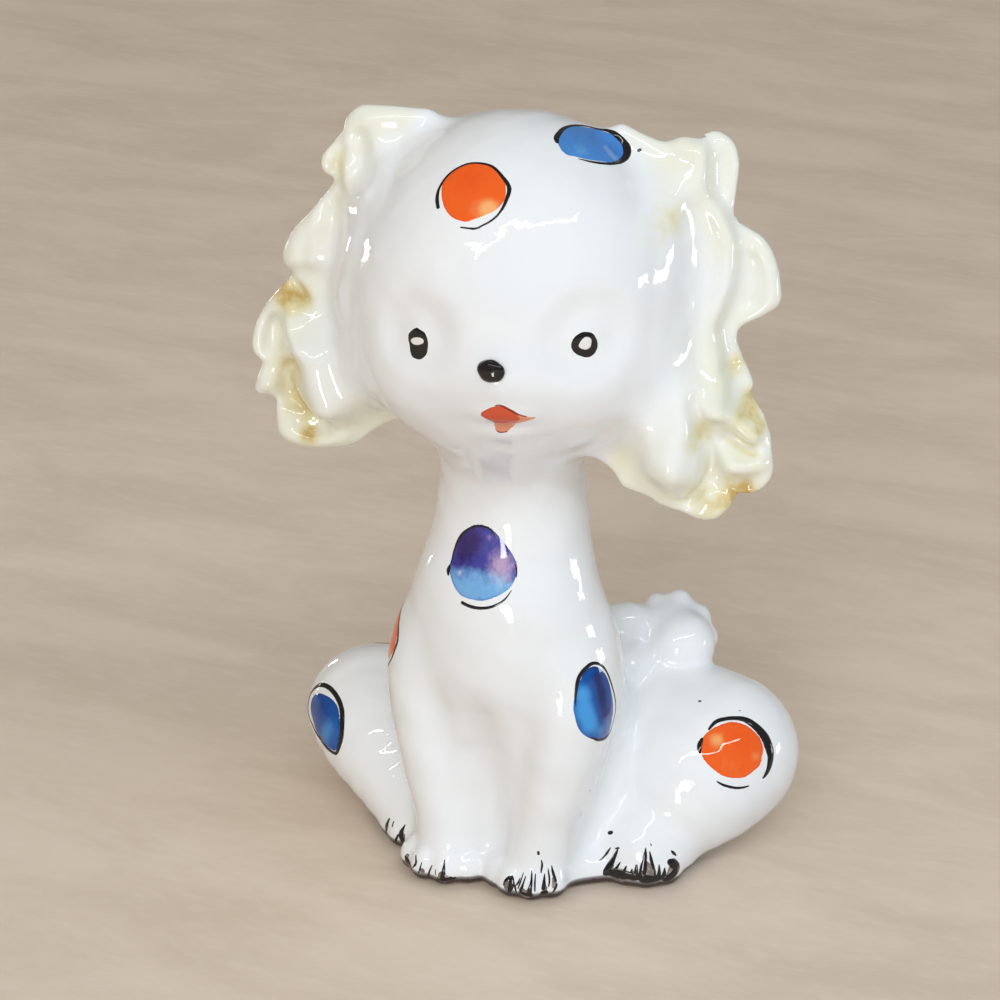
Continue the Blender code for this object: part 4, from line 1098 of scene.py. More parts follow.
# Thin brown washes under the claws' strokes
CLAW_WASHES = {
    "right_foreleg": (
        ((-45, 2.6, 0.2), (-43, 1.7, 0.5), (-38, 1.3, 0.4)), ((10, 2.4, 0.2), (12, 1.6, 0.5), (20, 1.4, 0.3)),
        ((-14, 2.2, 0.15), (-12, 1.5, 0.3)),
    ),
    "left_foreleg": (
        ((-10, 2.8, 0.3), (-9, 2.0, 0.4), (-6, 1.5, 0.3)), ((6, 2.2, 0.2), (11, 1.5, 0.5), (19, 1.6, 0.5)),
        ((34, 2.6, 0.3), (35, 1.6, 0.5)), ((47, 3.4, 0.2), (45, 2.0, 0.3)),
    ),
    "right_hind_leg": (((-38, 3.0, 0.2), (-43, 1.8, 0.4)), ((-9, 2.8, 0.3), (-10, 1.5, 0.5))),
    "left_hind_leg": (
        ((-20, 3.2, 0.3), (-17, 2.0, 0.6), (-8, 2.0, 0.7), (2, 2.1, 0.6)), ((5, 2.8, 0.4), (10, 1.9, 0.6)),
        ((22, 4.2, 0.2), (24, 3.0, 0.6), (26, 1.9, 0.7)), ((56, 3.4, 0.5), (55, 2.4, 0.7), (47, 1.7, 0.4)),
    ),
}
# Claws are laid inwards from CLAW_REACH round a paw's middle, and left off past CLAW_LIMIT beyond its toes
CLAW_REACH, CLAW_LIMIT = 9.0, 3.0
# The brush spreads each fill and line a little beyond its drawn size
FILL_SPREAD, LINE_SPREAD, CLAW_SPREAD = 1.08, 1.4, 1.2
WIDE_FILL = {"flank": 1.15, "right_haunch": 1.12, "left_haunch": 1.12}
# Patches of enamel: rings closer towards the rim, a face that domes down to it, and a sunk back
PATCH_SIDES, PATCH_RINGS, RING_POWER, RIM_POWER = 72, 14, 1.5, 8
PATCH_THICK, PATCH_SUNK, PATCH_RIM = 0.055, 0.12, 0.02
SPECK_THICK, EYE_WHITE_THICK = 0.03, 0.09
# Brush lines: the step along them, sides, and depth against width, for lines and for thin washes
LINE_STEP, LINE_SIDES, LINE_FLATNESS, WASH_FLATNESS = 0.14, 10, 0.2, 0.06
# The fewest points of a line, the least run that rounds its end, and points to each stretch of its curve
LEAST_LINE, LEAST_END, LINE_CURVE_STEPS, FILL_CURVE_STEPS = 6, 0.08, 8, 10
# Marks are laid on the glaze from this far off it, in steps of this share of the distance left
LAYING_START, LAYING_STEPS, LAYING_SHARE = 3.0, 70, 0.8


def facing(around, up):
    """The way that a mark faces, and its own right and up."""
    around, up = math.radians(around), math.radians(up)
    way = np.array([math.sin(around) * math.cos(up), -math.cos(around) * math.cos(up), math.sin(up)])
    right = np.cross((0.0, 0.0, 1.0), way)
    right /= np.linalg.norm(right)
    return way, right, np.cross(way, right)


def laid_on_glaze(points, ways, lifts):
    """Points moved along their ways onto the glaze and lifted off it, and the glaze's own ways there."""
    turned_way = swung(np.broadcast_to(ways, points.shape), -TURN_SIN)
    places = (carried(points, to_turned) + turned_way * LAYING_START - CLAY.origin) / VOXEL
    for _ in range(LAYING_STEPS):
        places -= turned_way * np.clip(LAYING_SHARE * CLAY.read(places) / VOXEL, -1.0, 1.0)[:, None]
    glaze_ways = swung(CLAY.lean(places)[0], TURN_SIN)
    places = carried(places * VOXEL + CLAY.origin, to_table)
    return places + glaze_ways * np.reshape(lifts, (-1, 1)), glaze_ways


def even_ring(outline, count):
    """Points at even steps round a smooth closed outline, anticlockwise."""
    ring = spline(outline, FILL_CURVE_STEPS, closed=True)
    ring = np.vstack([ring, ring[:1]])
    if np.sum(ring[:-1, 0] * ring[1:, 1] - ring[1:, 0] * ring[:-1, 1]) < 0:
        ring = ring[::-1]
    reach = np.concatenate([[0], np.cumsum(np.hypot(*np.diff(ring, axis=0).T))])
    at = np.linspace(0, reach[-1], count, endpoint=False)
    return np.stack([np.interp(at, reach, ring[:, 0]), np.interp(at, reach, ring[:, 1])], axis=1)


def enamel_patch(name, place, faces, outline, thick=PATCH_THICK, washes=(), finer=1.0):
    """A closed patch of enamel on the glaze: rings inside an outline, a domed face over a sunk one."""
    way, right, up = facing(*faces)
    sides, rings = int(PATCH_SIDES * finer), int(PATCH_RINGS * finer)
    ring = even_ring(outline, sides)
    middle = ring.mean(axis=0)
    shares = 1 - (1 - np.arange(1, rings + 1) / rings) ** RING_POWER
    flat = np.vstack([middle[None], *(middle + share * (ring - middle) for share in shares)])
    rim = np.concatenate([[0.0], np.repeat(shares, sides)])
    points = np.array(place) + flat[:, :1] * right + flat[:, 1:] * up
    lifts = thick * (1 - rim**RIM_POWER) - PATCH_RIM * rim**RIM_POWER
    top, _ = laid_on_glaze(points, way, lifts)
    bottom, _ = laid_on_glaze(points, way, np.full(len(points), -PATCH_SUNK))
    count = len(flat)
    around = np.arange(sides)
    ahead = (around + 1) % sides
    upper = [(0, 1 + a, 1 + b) for a, b in zip(around, ahead)]
    for ring_start in range(1, 1 + (rings - 1) * sides, sides):
        a, b = ring_start + around, ring_start + ahead
        upper += np.stack([a, a + sides, b + sides, b], axis=1).tolist()
    edge_a, edge_b = count - sides + around, count - sides + ahead
    wall = np.stack([edge_a, edge_a + count, edge_b + count, edge_b], axis=1).tolist()
    lower = [tuple(count + corner for corner in reversed(face)) for face in upper]
    mesh = plain_mesh(name, np.vstack([top, bottom]) * MM, [*upper, *lower, *wall])
    mesh.shade_smooth()
    wash = np.zeros(count)
    for at_right, at_up, radius, depth in washes:
        wash += depth * np.exp(-((flat[:, 0] - at_right) ** 2 + (flat[:, 1] - at_up) ** 2) / radius**2)
    half = np.abs(ring - middle).max(axis=0)
    point_values(mesh, "rim", np.tile(rim, 2))
    point_values(mesh, "wash", np.tile(wash, 2))
    point_values(mesh, "fall", np.tile((flat[:, 1] - middle[1]) / half[1], 2))
    return link(name, mesh)


def point_values(mesh, name, values):
    attribute = mesh.attributes.new(name, "FLOAT", "POINT")
    attribute.data.foreach_set("value", np.asarray(values, np.float32))


def point_ways(mesh, name, ways):
    attribute = mesh.attributes.new(name, "FLOAT_VECTOR", "POINT")
    attribute.data.foreach_set("vector", np.asarray(ways, np.float32).ravel())


def round_ends(run, widths):
    """Half widths that close roundly at both ends of a brush line."""
    reach = np.concatenate([[0], np.cumsum(np.linalg.norm(np.diff(run, axis=0), axis=1))])
    for gap, end in ((reach, widths[0]), (reach[-1] - reach, widths[-1])):
        close = np.clip(gap / max(end, LEAST_END), 0, 1)
        widths = widths * np.sqrt(np.clip(1 - (1 - close) ** 2, 0.0025, 1))
    return widths


def even_run(run):
    """A run of (position, half width) rows in small steps, with closer rows towards its ends."""
    reach = np.concatenate([[0], np.cumsum(np.linalg.norm(np.diff(run[:, :-1], axis=0), axis=1))])
    count = max(LEAST_LINE, int(reach[-1] / LINE_STEP))
    at = reach[-1] * (0.5 - 0.5 * np.cos(np.linspace(0, np.pi, count)))
    at = 0.6 * at + 0.4 * np.linspace(0, reach[-1], count)
    return np.stack([np.interp(at, reach, run[:, i]) for i in range(run.shape[1])], axis=1)


def mark_line(place, faces, line):
    """A brush line of a mark as points on the glaze, ways and half widths."""
    way, right, up = facing(*faces)
    run = even_run(spline(line, LINE_CURVE_STEPS))
    points = np.array(place) + run[:, :1] * right + run[:, 1:2] * up
    points, ways = laid_on_glaze(points, way, np.zeros(len(run)))
    return points, ways, round_ends(points, LINE_SPREAD * run[:, 2])


def claw_lines(paw, lines):
    """A paw's claw strokes, each as points on the glaze, ways and half widths."""
    center_out, center_back, reach, _ = PAWS[paw]
    laid = []
    for line in lines:
        # Angles are measured as a length round the paw, so that steps along the line are even
        drawn = [(math.radians(angle) * CLAW_REACH / 2, height, half) for angle, height, half in line]
        run = even_run(spline(drawn, LINE_CURVE_STEPS))
        around = run[:, 0] * 2 / CLAW_REACH
        ways = np.stack([np.sin(around), -np.cos(around), np.zeros(len(run))], axis=1)
        points = np.array((center_out, center_back, 0.0)) + ways * CLAW_REACH
        points[:, 2] = run[:, 1]
        points, ways = laid_on_glaze(points, ways, np.zeros(len(run)))
        # What would land on another leg is left off
        own = np.hypot(points[:, 0] - center_out, points[:, 1] - center_back) < reach + CLAW_LIMIT
        if own.sum() > 1:
            points, ways, widths = points[own], ways[own], run[own, 2]
            laid.append((points, ways, round_ends(points, CLAW_SPREAD * widths)))
    return laid


def brush_tree():
    """Geometry Nodes tree: each guide line becomes a flattened, tapered stroke of enamel."""
    tree = bpy.data.node_groups.new("brush_strokes", "GeometryNodeTree")
    inputs = {"Geometry": "Geometry", "Flatness": "Float", "Sides": "Int"}
    inputs.update({"Unevenness": "Float", "Enamel": "Material"})
    for label, kind in inputs.items():
        tree.interface.new_socket(label, in_out="INPUT", socket_type="NodeSocket" + kind)
    tree.interface.new_socket("Geometry", in_out="OUTPUT", socket_type="NodeSocketGeometry")
    wires = Wires(tree)
    given = wires.add("NodeGroupInput").outputs

    def made(kind, inputs, **settings):
        return wires.add(kind, inputs, **settings).outputs[0]

    curve = made("GeometryNodeMeshToCurve", {0: given["Geometry"]})
    way = made("GeometryNodeInputNamedAttribute", {"Name": "way"}, data_type="FLOAT_VECTOR")
    width = made("GeometryNodeInputNamedAttribute", {"Name": "width"}, data_type="FLOAT")
    laid = made("GeometryNodeSetCurveNormal", {"Curve": curve, "Normal": way}, mode="FREE")
    wobble = made("ShaderNodeTexNoise", {"Scale": 1400.0, "Detail": 2.0})
    scale = wires.times(width, wires.plus(wires.swing(wobble, given["Unevenness"]), 1.0))
    ring = made("GeometryNodeCurvePrimitiveCircle", {"Resolution": given["Sides"], "Radius": 1.0})
    flat = made("ShaderNodeCombineXYZ", {"X": given["Flatness"], "Y": 1.0, "Z": 1.0})
    profile = made("GeometryNodeTransform", {"Geometry": ring, "Scale": flat})
    sweep = {"Curve": laid, "Profile Curve": profile, "Scale": scale, "Fill Caps": True}
    smooth = made("GeometryNodeSetShadeSmooth", {0: made("GeometryNodeCurveToMesh", sweep)})
    real = made("GeometryNodeRealizeInstances", {0: smooth})
    painted = made("GeometryNodeSetMaterial", {0: real, "Material": given["Enamel"]})
    wires.add("NodeGroupOutput", {0: painted})
    return tree


class Wires:
    """Adds nodes to a tree. An input is given by its name or place, as a value or another node's output."""

    def __init__(self, tree):
        self.tree = tree

    def add(self, kind, inputs=None, **settings):
        node = self.tree.nodes.new(kind)
        for setting, value in settings.items():
            setattr(node, setting, value)
        for socket, value in (inputs or {}).items():
            if isinstance(value, bpy.types.NodeSocket):
                self.tree.links.new(value, node.inputs[socket])
            else:
                node.inputs[socket].default_value = value
        return node

    def math(self, operation, first, second, clamp=False):
        inputs = {0: first, 1: second}
        return self.add("ShaderNodeMath", inputs, operation=operation, use_clamp=clamp).outputs[0]

    def plus(self, first, second):
        return self.math("ADD", first, second)

    def less(self, first, second):
        return self.math("SUBTRACT", first, second)

    def times(self, first, second):
        return self.math("MULTIPLY", first, second)

    def swing(self, value, width):
        """A value between 0 and 1 as a swing of this width about 0."""
        return self.times(self.less(value, 0.5), width)

    def mix(self, share, first, second):
        inputs = {0: share, 6: first, 7: second}
        return self.add("ShaderNodeMix", inputs, data_type="RGBA").outputs[2]

    def noise(self, vector, scale, detail=2.0, roughness=0.5, distortion=0.0):
        inputs = {"Vector": vector, "Scale": scale, "Detail": detail, "Roughness": roughness}
        return self.add("ShaderNodeTexNoise", {**inputs, "Distortion": distortion}).outputs[0]

    def step(self, value, low, high):
        """0 below low and 1 above high, and smooth between them."""
        inputs = {"Value": value, "From Min": low, "From Max": high}
        return self.add("ShaderNodeMapRange", inputs, interpolation_type="SMOOTHSTEP").outputs[0]

    def group(self, tree, **values):
        """A group's node, its inputs given by their names in small letters."""
        inputs = {label.replace("_", " ").title(): value for label, value in values.items()}
        return self.add("ShaderNodeGroup", inputs, node_tree=tree)

    def join(self, shader, **values):
        """Wires values to a shader's inputs, given by their names in small letters."""
        for label, value in values.items():
            self.tree.links.new(value, shader.inputs[label.replace("_", " ").title()])

    def bump(self, shader, height, distance, strength=1.0, coats=("Normal", "Coat Normal")):
        """Lifts a shader's surface by a height."""
        inputs = {"Height": height, "Distance": distance, "Strength": strength}
        normal = self.add("ShaderNodeBump", inputs).outputs[0]
        for coat in coats:
            self.tree.links.new(normal, shader.inputs[coat])


def shader_group(name, inputs, outputs):
    """A shader node group with named sockets, its wires and its input node."""
    tree = bpy.data.node_groups.new(name, "ShaderNodeTree")
    for label, value in inputs.items():
        kind = {tuple: "Color", float: "Float", type(None): "Vector"}[type(value)]
        socket = tree.interface.new_socket(label, in_out="INPUT", socket_type="NodeSocket" + kind)
        if value is not None:
            socket.default_value = value
    for label, kind in outputs.items():
        tree.interface.new_socket(label, in_out="OUTPUT", socket_type="NodeSocket" + kind)
    wires = Wires(tree)
    return tree, wires, wires.add("NodeGroupInput").outputs


def color(red, green, blue):
    return (red, green, blue, 1.0)


def porcelain_tone_group():
    """Colour of the glazed body: white, tinted and stained on the ears, bare at the foot, with a painted
    contact shadow just above it.
    """
    tree, wires, given = shader_group("porcelain_tone", {
        "Vector": None, "Tint": 0.0, "Stain": 0.0, "Pool": 0.0, "Ridge": 0.0, "Foot": 0.0, "Grime": 0.0,
        "Body": color(0.8, 0.8, 0.8), "Shade": color(0.7, 0.7, 0.7), "Ear": color(0.8, 0.8, 0.6),
        "Ear Deep": color(0.7, 0.6, 0.4), "Stain Color": color(0.5, 0.3, 0.1), "Bisque": color(0.7, 0.7, 0.6),
        "Dirt": color(0.1, 0.1, 0.1),
    }, {"Color": "Color"})
    times, step = wires.times, wires.step
    broad = wires.noise(given["Vector"], 60.0, 2.0)
    fine = wires.noise(given["Vector"], 420.0, 3.0, 0.6)
    body = wires.mix(step(broad, 0.3, 0.75), given["Body"], given["Shade"])
    # The ears' tint, deeper where the glaze pools and worn thin on the ridges
    tint = wires.plus(given["Tint"], wires.swing(broad, 0.5))
    tone = wires.mix(times(step(tint, 0.05, 0.95), step(given["Tint"], 0.0, 0.2)), body, given["Ear"])
    deep = wires.plus(times(given["Pool"], given["Tint"]), wires.swing(fine, 0.3))
    tone = wires.mix(times(step(deep, 0.1, 1.0), given["Tint"]), tone, given["Ear Deep"])
    tone = wires.mix(times(given["Ridge"], times(given["Tint"], 0.55)), tone, given["Body"])
    # Stains, with a brown middle
    stain = times(given["Stain"], wires.plus(times(fine, 2.4), -0.3))
    tone = wires.mix(step(stain, 0.0, 0.45), tone, given["Ear Deep"])
    tone = wires.mix(step(stain, 0.25, 0.95), tone, given["Stain Color"])
    # The bare foot, and round it a painted contact shadow with a dark edge line
    tone = wires.mix(given["Foot"], tone, given["Bisque"])
    dirt = wires.plus(times(given["Grime"], 1.15), wires.swing(fine, 0.5))
    tone = wires.mix(times(step(dirt, 0.3, 0.9), given["Grime"]), tone, given["Dirt"])
    wires.add("NodeGroupOutput", {"Color": tone})
    return tree


def glaze_surface_group():
    """Relief of a fired glaze: slow waves, a faint orange peel, and a few pinholes with dark specks."""
    tree, wires, given = shader_group("glaze_surface", {
        "Vector": None, "Waves": 0.0, "Peel": 0.0, "Pinholes": 0.0, "Foot": 0.0, "Roughness": 0.3,
    }, {"Height": "Float", "Speck": "Float", "Roughness": "Float"})
    times, vector = wires.times, given["Vector"]
    waves = times(wires.noise(vector, 170.0, 1.0), given["Waves"])
    peel = times(wires.noise(vector, 1100.0, 1.0), given["Peel"])
    grit = times(wires.noise(vector, 4200.0, 2.0), given["Foot"])
    # A pinhole sits in the middle of a few of the cells
    cells = wires.add("ShaderNodeTexVoronoi", {"Vector": vector, "Scale": 150.0, "Randomness": 1.0}).outputs
    luck = wires.add("ShaderNodeSeparateColor", {0: cells["Color"]}).outputs[0]
    hole = times(wires.less(1.0, wires.step(cells["Distance"], 0.01, 0.035)), wires.step(luck, 0.93, 0.95))
    pit = times(hole, given["Pinholes"])
    height = wires.less(wires.plus(wires.plus(waves, peel), grit), pit)
    rough = wires.math("ADD", given["Roughness"], times(given["Foot"], 0.45), clamp=True)
    wires.add("NodeGroupOutput", {"Height": height, "Speck": pit, "Roughness": rough})
    return tree


def enamel_wash_group():
    """Colour and relief of brushed enamel: thin and deep washes, streaks, mottles and a pooled rim."""
    tree, wires, given = shader_group("enamel_wash", {
        "Vector": None, "Wash": 0.0, "Rim": 0.0, "Enamel": color(0.5, 0.5, 0.5), "Thin": color(0.8, 0.8, 0.8),
        "Deep": color(0.2, 0.2, 0.2), "Mottle": 0.3, "Mottle Scale": 900.0, "Pooling": 0.4,
    }, {"Color": "Color", "Height": "Float"})
    vector = given["Vector"]
    grain = wires.noise(vector, given["Mottle Scale"], 4.0, 0.65, 0.6)
    turn, stretch = (0.4, 0.3, 0.6), (1.0, 1.0, 0.22)
    drawn = wires.add("ShaderNodeMapping", {"Vector": vector, "Rotation": turn, "Scale": stretch})
    streak = wires.noise(drawn.outputs[0], 1500.0, 2.0, 0.5)
    uneven = wires.plus(wires.less(grain, 0.5), wires.swing(streak, 0.6))
    depth = wires.plus(given["Wash"], wires.times(uneven, wires.times(given["Mottle"], 2.0)))
    pooled = wires.times(wires.step(given["Rim"], 0.86, 0.97), given["Pooling"])
    tone = wires.mix(wires.step(wires.times(depth, -1.0), 0.0, 1.0), given["Enamel"], given["Thin"])
    tone = wires.mix(wires.step(wires.plus(depth, pooled), 0.0, 1.0), tone, given["Deep"])
    wires.add("NodeGroupOutput", {"Color": tone, "Height": wires.plus(grain, streak)})
    return tree


def material_of(name, **values):
    """A new material, its wires and its shader with the given values."""
    material = bpy.data.materials.new(name)
    material.use_nodes = True
    shader = material.node_tree.nodes["Principled BSDF"]
    for label, value in values.items():
        shader.inputs[label.replace("_", " ").title().replace("Ior", "IOR")].default_value = value
    return material, Wires(material.node_tree), shader


# A clear glaze over the tone below it
CLEAR_GLAZE = {"coat_weight": 1.0, "coat_roughness": 0.02, "coat_ior": 1.5, "specular_ior_level": 0.0}


def mask(wires, name):
    return wires.add("ShaderNodeAttribute", attribute_name=name).outputs["Fac"]


def object_vector(wires):
    return wires.add("ShaderNodeTexCoord").outputs["Object"]


TONE, SURFACE, WASH = porcelain_tone_group(), glaze_surface_group(), enamel_wash_group()
PORCELAIN_TONES = {
    "body": color(0.84, 0.85, 0.862), "shade": color(0.8, 0.815, 0.835), "ear": color(0.82, 0.81, 0.66),
    "ear_deep": color(0.74, 0.67, 0.4), "stain_color": color(0.52, 0.33, 0.09),
    # The darkest tone is painted contact shadow, with a dark edge line, along the base
    "bisque": color(0.72, 0.68, 0.62), "dirt": color(0.045, 0.03, 0.026),
}
SPECK_TONE = color(0.12, 0.1, 0.09)
GLAZE_RELIEF, ENAMEL_RELIEF = 0.13, 0.002


def porcelain():
    material, wires, shader = material_of("porcelain", **CLEAR_GLAZE)
    vector, foot = object_vector(wires), mask(wires, "foot")
    masks = {label: mask(wires, label) for label in ("stain", "pool", "ridge", "grime")}
    masks["tint"] = mask(wires, "ear_tint")
    tone = wires.group(TONE, vector=vector, foot=foot, **masks, **PORCELAIN_TONES).outputs["Color"]
    surface = wires.group(
        SURFACE, vector=vector, waves=1.0, peel=0.12, pinholes=0.5, foot=foot, roughness=0.32,
    ).outputs
    wires.join(
        shader, base_color=wires.mix(surface["Speck"], tone, SPECK_TONE), roughness=surface["Roughness"],
        coat_weight=wires.less(1.0, foot),
    )
    wires.bump(shader, surface["Height"], GLAZE_RELIEF * MM)
    return material


def enamel(name, main, thin, deep, mottle=0.3, scale=900.0, pooling=0.4, fall=None):
    """Enamel fired on the glaze. With a fall, it runs into another enamel towards the mark's lower end."""
    material, wires, shader = material_of(name + "_enamel", roughness=0.35, **CLEAR_GLAZE)
    vector = object_vector(wires)
    values = {"vector": vector, "wash": mask(wires, "wash"), "rim": mask(wires, "rim")}
    values.update(mottle=mottle, mottle_scale=scale, pooling=pooling)

    def washed(main, thin, deep):
        return wires.group(WASH, enamel=color(*main), thin=color(*thin), deep=color(*deep), **values).outputs

    upper = washed(main, thin, deep)
    tone = upper["Color"]
    if fall:
        ragged = wires.swing(wires.noise(vector, 700.0, 3.0), 0.7)
        share = wires.step(wires.plus(mask(wires, "fall"), ragged), -0.05, -0.5)
        tone = wires.mix(share, tone, washed(*fall)["Color"])
    wires.join(shader, base_color=tone)
    wires.bump(shader, upper["Height"], ENAMEL_RELIEF * MM)
    return material


PORCELAIN = porcelain()
# Enamels: main, thin and deep colour, mottle and its scale, pooling at the rim, and what it runs into
ENAMELS = {
    name: enamel(name, *values) for name, *values in (
        ("orange", (0.86, 0.12, 0.014), (0.88, 0.42, 0.16), (0.8, 0.06, 0.01), 0.2),
        ("sky", (0.06, 0.23, 0.6), (0.16, 0.48, 0.72), (0.015, 0.09, 0.38), 0.35, 700.0, 0.2),
        ("blue", (0.006, 0.075, 0.33), (0.05, 0.31, 0.72), (0.004, 0.015, 0.11), 0.16),
        (
            # Violet's thin colour, a pale pinkish lavender, is mostly a painted reflection on the right side
            # of the chest dot
            "violet", (0.06, 0.06, 0.32), (0.5, 0.36, 0.55), (0.03, 0.015, 0.12), 0.55, 1100.0, 0.5,
            ((0.18, 0.41, 0.72), (0.45, 0.62, 0.8), (0.05, 0.16, 0.5)),
        ),
        ("black", (0.012, 0.01, 0.01), (0.05, 0.032, 0.028), (0.006, 0.005, 0.005), 0.4, 2200.0),
        ("eye_white", (0.8, 0.77, 0.75), (0.7, 0.66, 0.64), (0.6, 0.55, 0.54), 0.3, 2200.0),
        ("lip_red", (0.62, 0.085, 0.03), (0.76, 0.26, 0.12), (0.34, 0.03, 0.02), 0.3, 1600.0),
        ("claw_brown", (0.2, 0.165, 0.155), (0.6, 0.55, 0.52), (0.04, 0.03, 0.028), 1.3, 1500.0),
        ("lip_dark", (0.3, 0.03, 0.015), (0.5, 0.1, 0.05), (0.12, 0.012, 0.01), 0.4, 2000.0),
        ("lip_pale", (0.72, 0.28, 0.16), (0.8, 0.48, 0.34), (0.45, 0.1, 0.05), 0.35, 1600.0),
    )
}
BRUSH = brush_tree()


def on_root(piece):
    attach(piece, "root")


def paint_patch(name, enamel_name, slot, *shape, **details):
    piece = enamel_patch(name, *shape, **details)
    piece.data.materials.append(ENAMELS[enamel_name])
    on_root(piece)


def brush_strokes(name, lines, unevenness=0.25, enamel_name="black", flatness=LINE_FLATNESS):
    """One piece of enamel for a set of lines, each as points, ways and half widths."""
    points, ways, widths = (np.concatenate([line[i] for line in lines]) for i in range(3))
    edges, start = [], 0
    for line in lines:
        edges += [(start + i, start + i + 1) for i in range(len(line[0]) - 1)]
        start += len(line[0])
    guide_mesh = bpy.data.meshes.new(name + "_guide")
    guide_mesh.from_pydata((points * MM).tolist(), edges, [])
    point_ways(guide_mesh, "way", ways)
    point_values(guide_mesh, "width", widths * MM)
    guide = link(name + "_guide", guide_mesh)
    strokes = guide.modifiers.new("strokes", "NODES")
    strokes.node_group = BRUSH
    settings = {"Flatness": flatness, "Sides": LINE_SIDES, "Unevenness": unevenness}
    settings["Enamel"] = ENAMELS[enamel_name]
    for item in BRUSH.interface.items_tree:
        if item.in_out == "INPUT" and item.name in settings:
            strokes[item.identifier] = settings[item.name]
    evaluated = guide.evaluated_get(bpy.context.evaluated_depsgraph_get())
    mesh = bpy.data.meshes.new_from_object(evaluated)
    mesh.name = name
    bpy.data.objects.remove(guide)
    piece = link(name, mesh)
    on_root(piece)


def nose_ball(rows=22, columns=36, fullest=1.04):
    """The nose: an uneven painted button, a little wider below."""
    low, high = (np.array(corner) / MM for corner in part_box("nose_button"))
    center, half = (low + high) / 2, (high - low) / 2
    points = [center - (0, 0, half[2])]
    for row in range(1, rows):
        rise = math.pi * (row / rows - 0.5)
        for column in range(columns):
            turn = 2 * math.pi * column / columns
            bulge = 1 + 0.05 * math.sin(3 * turn + 0.8) * math.cos(rise) - 0.05 * math.sin(rise)
            bulge += 0.03 * math.sin(5 * rise + 2 * turn)
            across, along = math.cos(turn) * math.cos(rise), math.sin(turn) * math.cos(rise)
            form = np.array([across, along, math.sin(rise)])
            points.append(center + form * half * min(bulge, fullest))
    points.append(center + (0, 0, half[2]))
    last = len(points) - 1
    faces = []
    for i in range(columns):
        j = (i + 1) % columns
        faces.append((0, 1 + j, 1 + i))
        for row in range(rows - 2):
            a = 1 + row * columns
            faces.append((a + i, a + j, a + columns + j, a + columns + i))
        faces.append((last, last - columns + i, last - columns + j))
    mesh = plain_mesh("nose_ball", np.array(points) * MM, faces)
    mesh.shade_smooth()
    mesh.materials.append(ENAMELS["black"])
    return link("nose_ball", mesh)


PIECE_NAMES, OWNER = claimed_faces()
MASKS = glaze_masks()
for index, node in enumerate(PIECE_NAMES):
    piece = shell_piece(node + "_porcelain", quads[OWNER == index], MASKS)
    piece.data.materials.append(PORCELAIN)
    on_root(piece)
    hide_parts(node)

nose = nose_ball()
on_root(nose)
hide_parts("nose_button")

for name, dot in DOTS.items():
    plane = dot["place"], dot["faces"]
    spread = WIDE_FILL.get(name, FILL_SPREAD)
    fill = [(spread * right, spread * up) for right, up in dot["fill"]]
    paint_patch(name + "_dot", dot["enamel"], "white_glaze", *plane, fill, washes=dot["washes"])
    brush_strokes(name + "_outline", [mark_line(*plane, line) for line in dot["lines"]])
for name, eye in EYES.items():
    plane = eye["place"], eye["faces"]
    paint_patch(name, "black", "black_enamel", *plane, eye["black"], finer=0.6)
    paint_patch(
        name + "_white", "eye_white", "white_glaze", *plane, eye["white"], thick=EYE_WHITE_THICK, finer=0.5,
    )
for name, (enamel_name, thick, outline) in MOUTH.items():
    paint_patch(name, enamel_name, "white_glaze", MOUTH_PLACE, MOUTH_FACES, outline, thick=thick, finer=0.7)
mouth_lines = [mark_line(MOUTH_PLACE, MOUTH_FACES, line) for line in MOUTH_LINES]
brush_strokes("mouth_lines", mouth_lines, unevenness=0.4, enamel_name="lip_dark")
for number, (place, faces, radius) in enumerate(SPECKS, 1):
    turns = [math.radians(angle) for angle in range(0, 360, 60)]
    outline = [(radius * math.cos(turn), 0.75 * radius * math.sin(turn + 0.3)) for turn in turns]
    paint_patch(
        f"kiln_speck_{number}", "black", "black_enamel", place, faces, outline, thick=SPECK_THICK, finer=0.3,
    )
for paw, lines in CLAWS.items():
    brush_strokes(
        paw + "_claw_wash", claw_lines(paw, CLAW_WASHES[paw]), unevenness=1.0, enamel_name="claw_brown",
        flatness=WASH_FLATNESS,
    )
    brush_strokes(paw + "_claws", claw_lines(paw, lines), unevenness=0.8)

# Floor, lamps and camera
FLOOR_HALF = 2
floor_mesh = bpy.data.meshes.new("floor")
corners = ((-1, -1), (1, -1), (1, 1), (-1, 1))
floor_mesh.from_pydata([(FLOOR_HALF * x, FLOOR_HALF * y, 0) for x, y in corners], [], [(0, 1, 2, 3)])
floor = link("floor", floor_mesh)


def counter_finish():
    """A matt beige counter with faint clouds and fibres."""
    material, wires, shader = material_of("beige_counter", roughness=0.5, specular_ior_level=0.05)
    turn, stretch = (0.0, 0.0, 0.5), (1.0, 2.6, 1.0)
    places = {"Vector": object_vector(wires), "Rotation": turn, "Scale": stretch}
    drawn = wires.add("ShaderNodeMapping", places).outputs[0]
    clouds = wires.noise(drawn, 26.0, 5.0, 0.6, 0.5)
    fibres = wires.noise(drawn, 240.0, 4.0, 0.6)
    tone = wires.mix(wires.step(clouds, 0.3, 0.7), color(0.76, 0.64, 0.53), color(0.67, 0.555, 0.45))
    tone = wires.mix(wires.times(wires.step(fibres, 0.45, 0.75), 0.3), tone, color(0.8, 0.7, 0.6))
    wires.join(shader, base_color=tone)
    wires.bump(shader, fibres, 0.0001, strength=0.5, coats=("Normal",))
    return material


floor_mesh.materials.append(counter_finish())

scene = bpy.context.scene
scene.view_settings.view_transform = "Standard"
world = bpy.data.worlds.new("studio")
scene.world = world
world.use_nodes = True
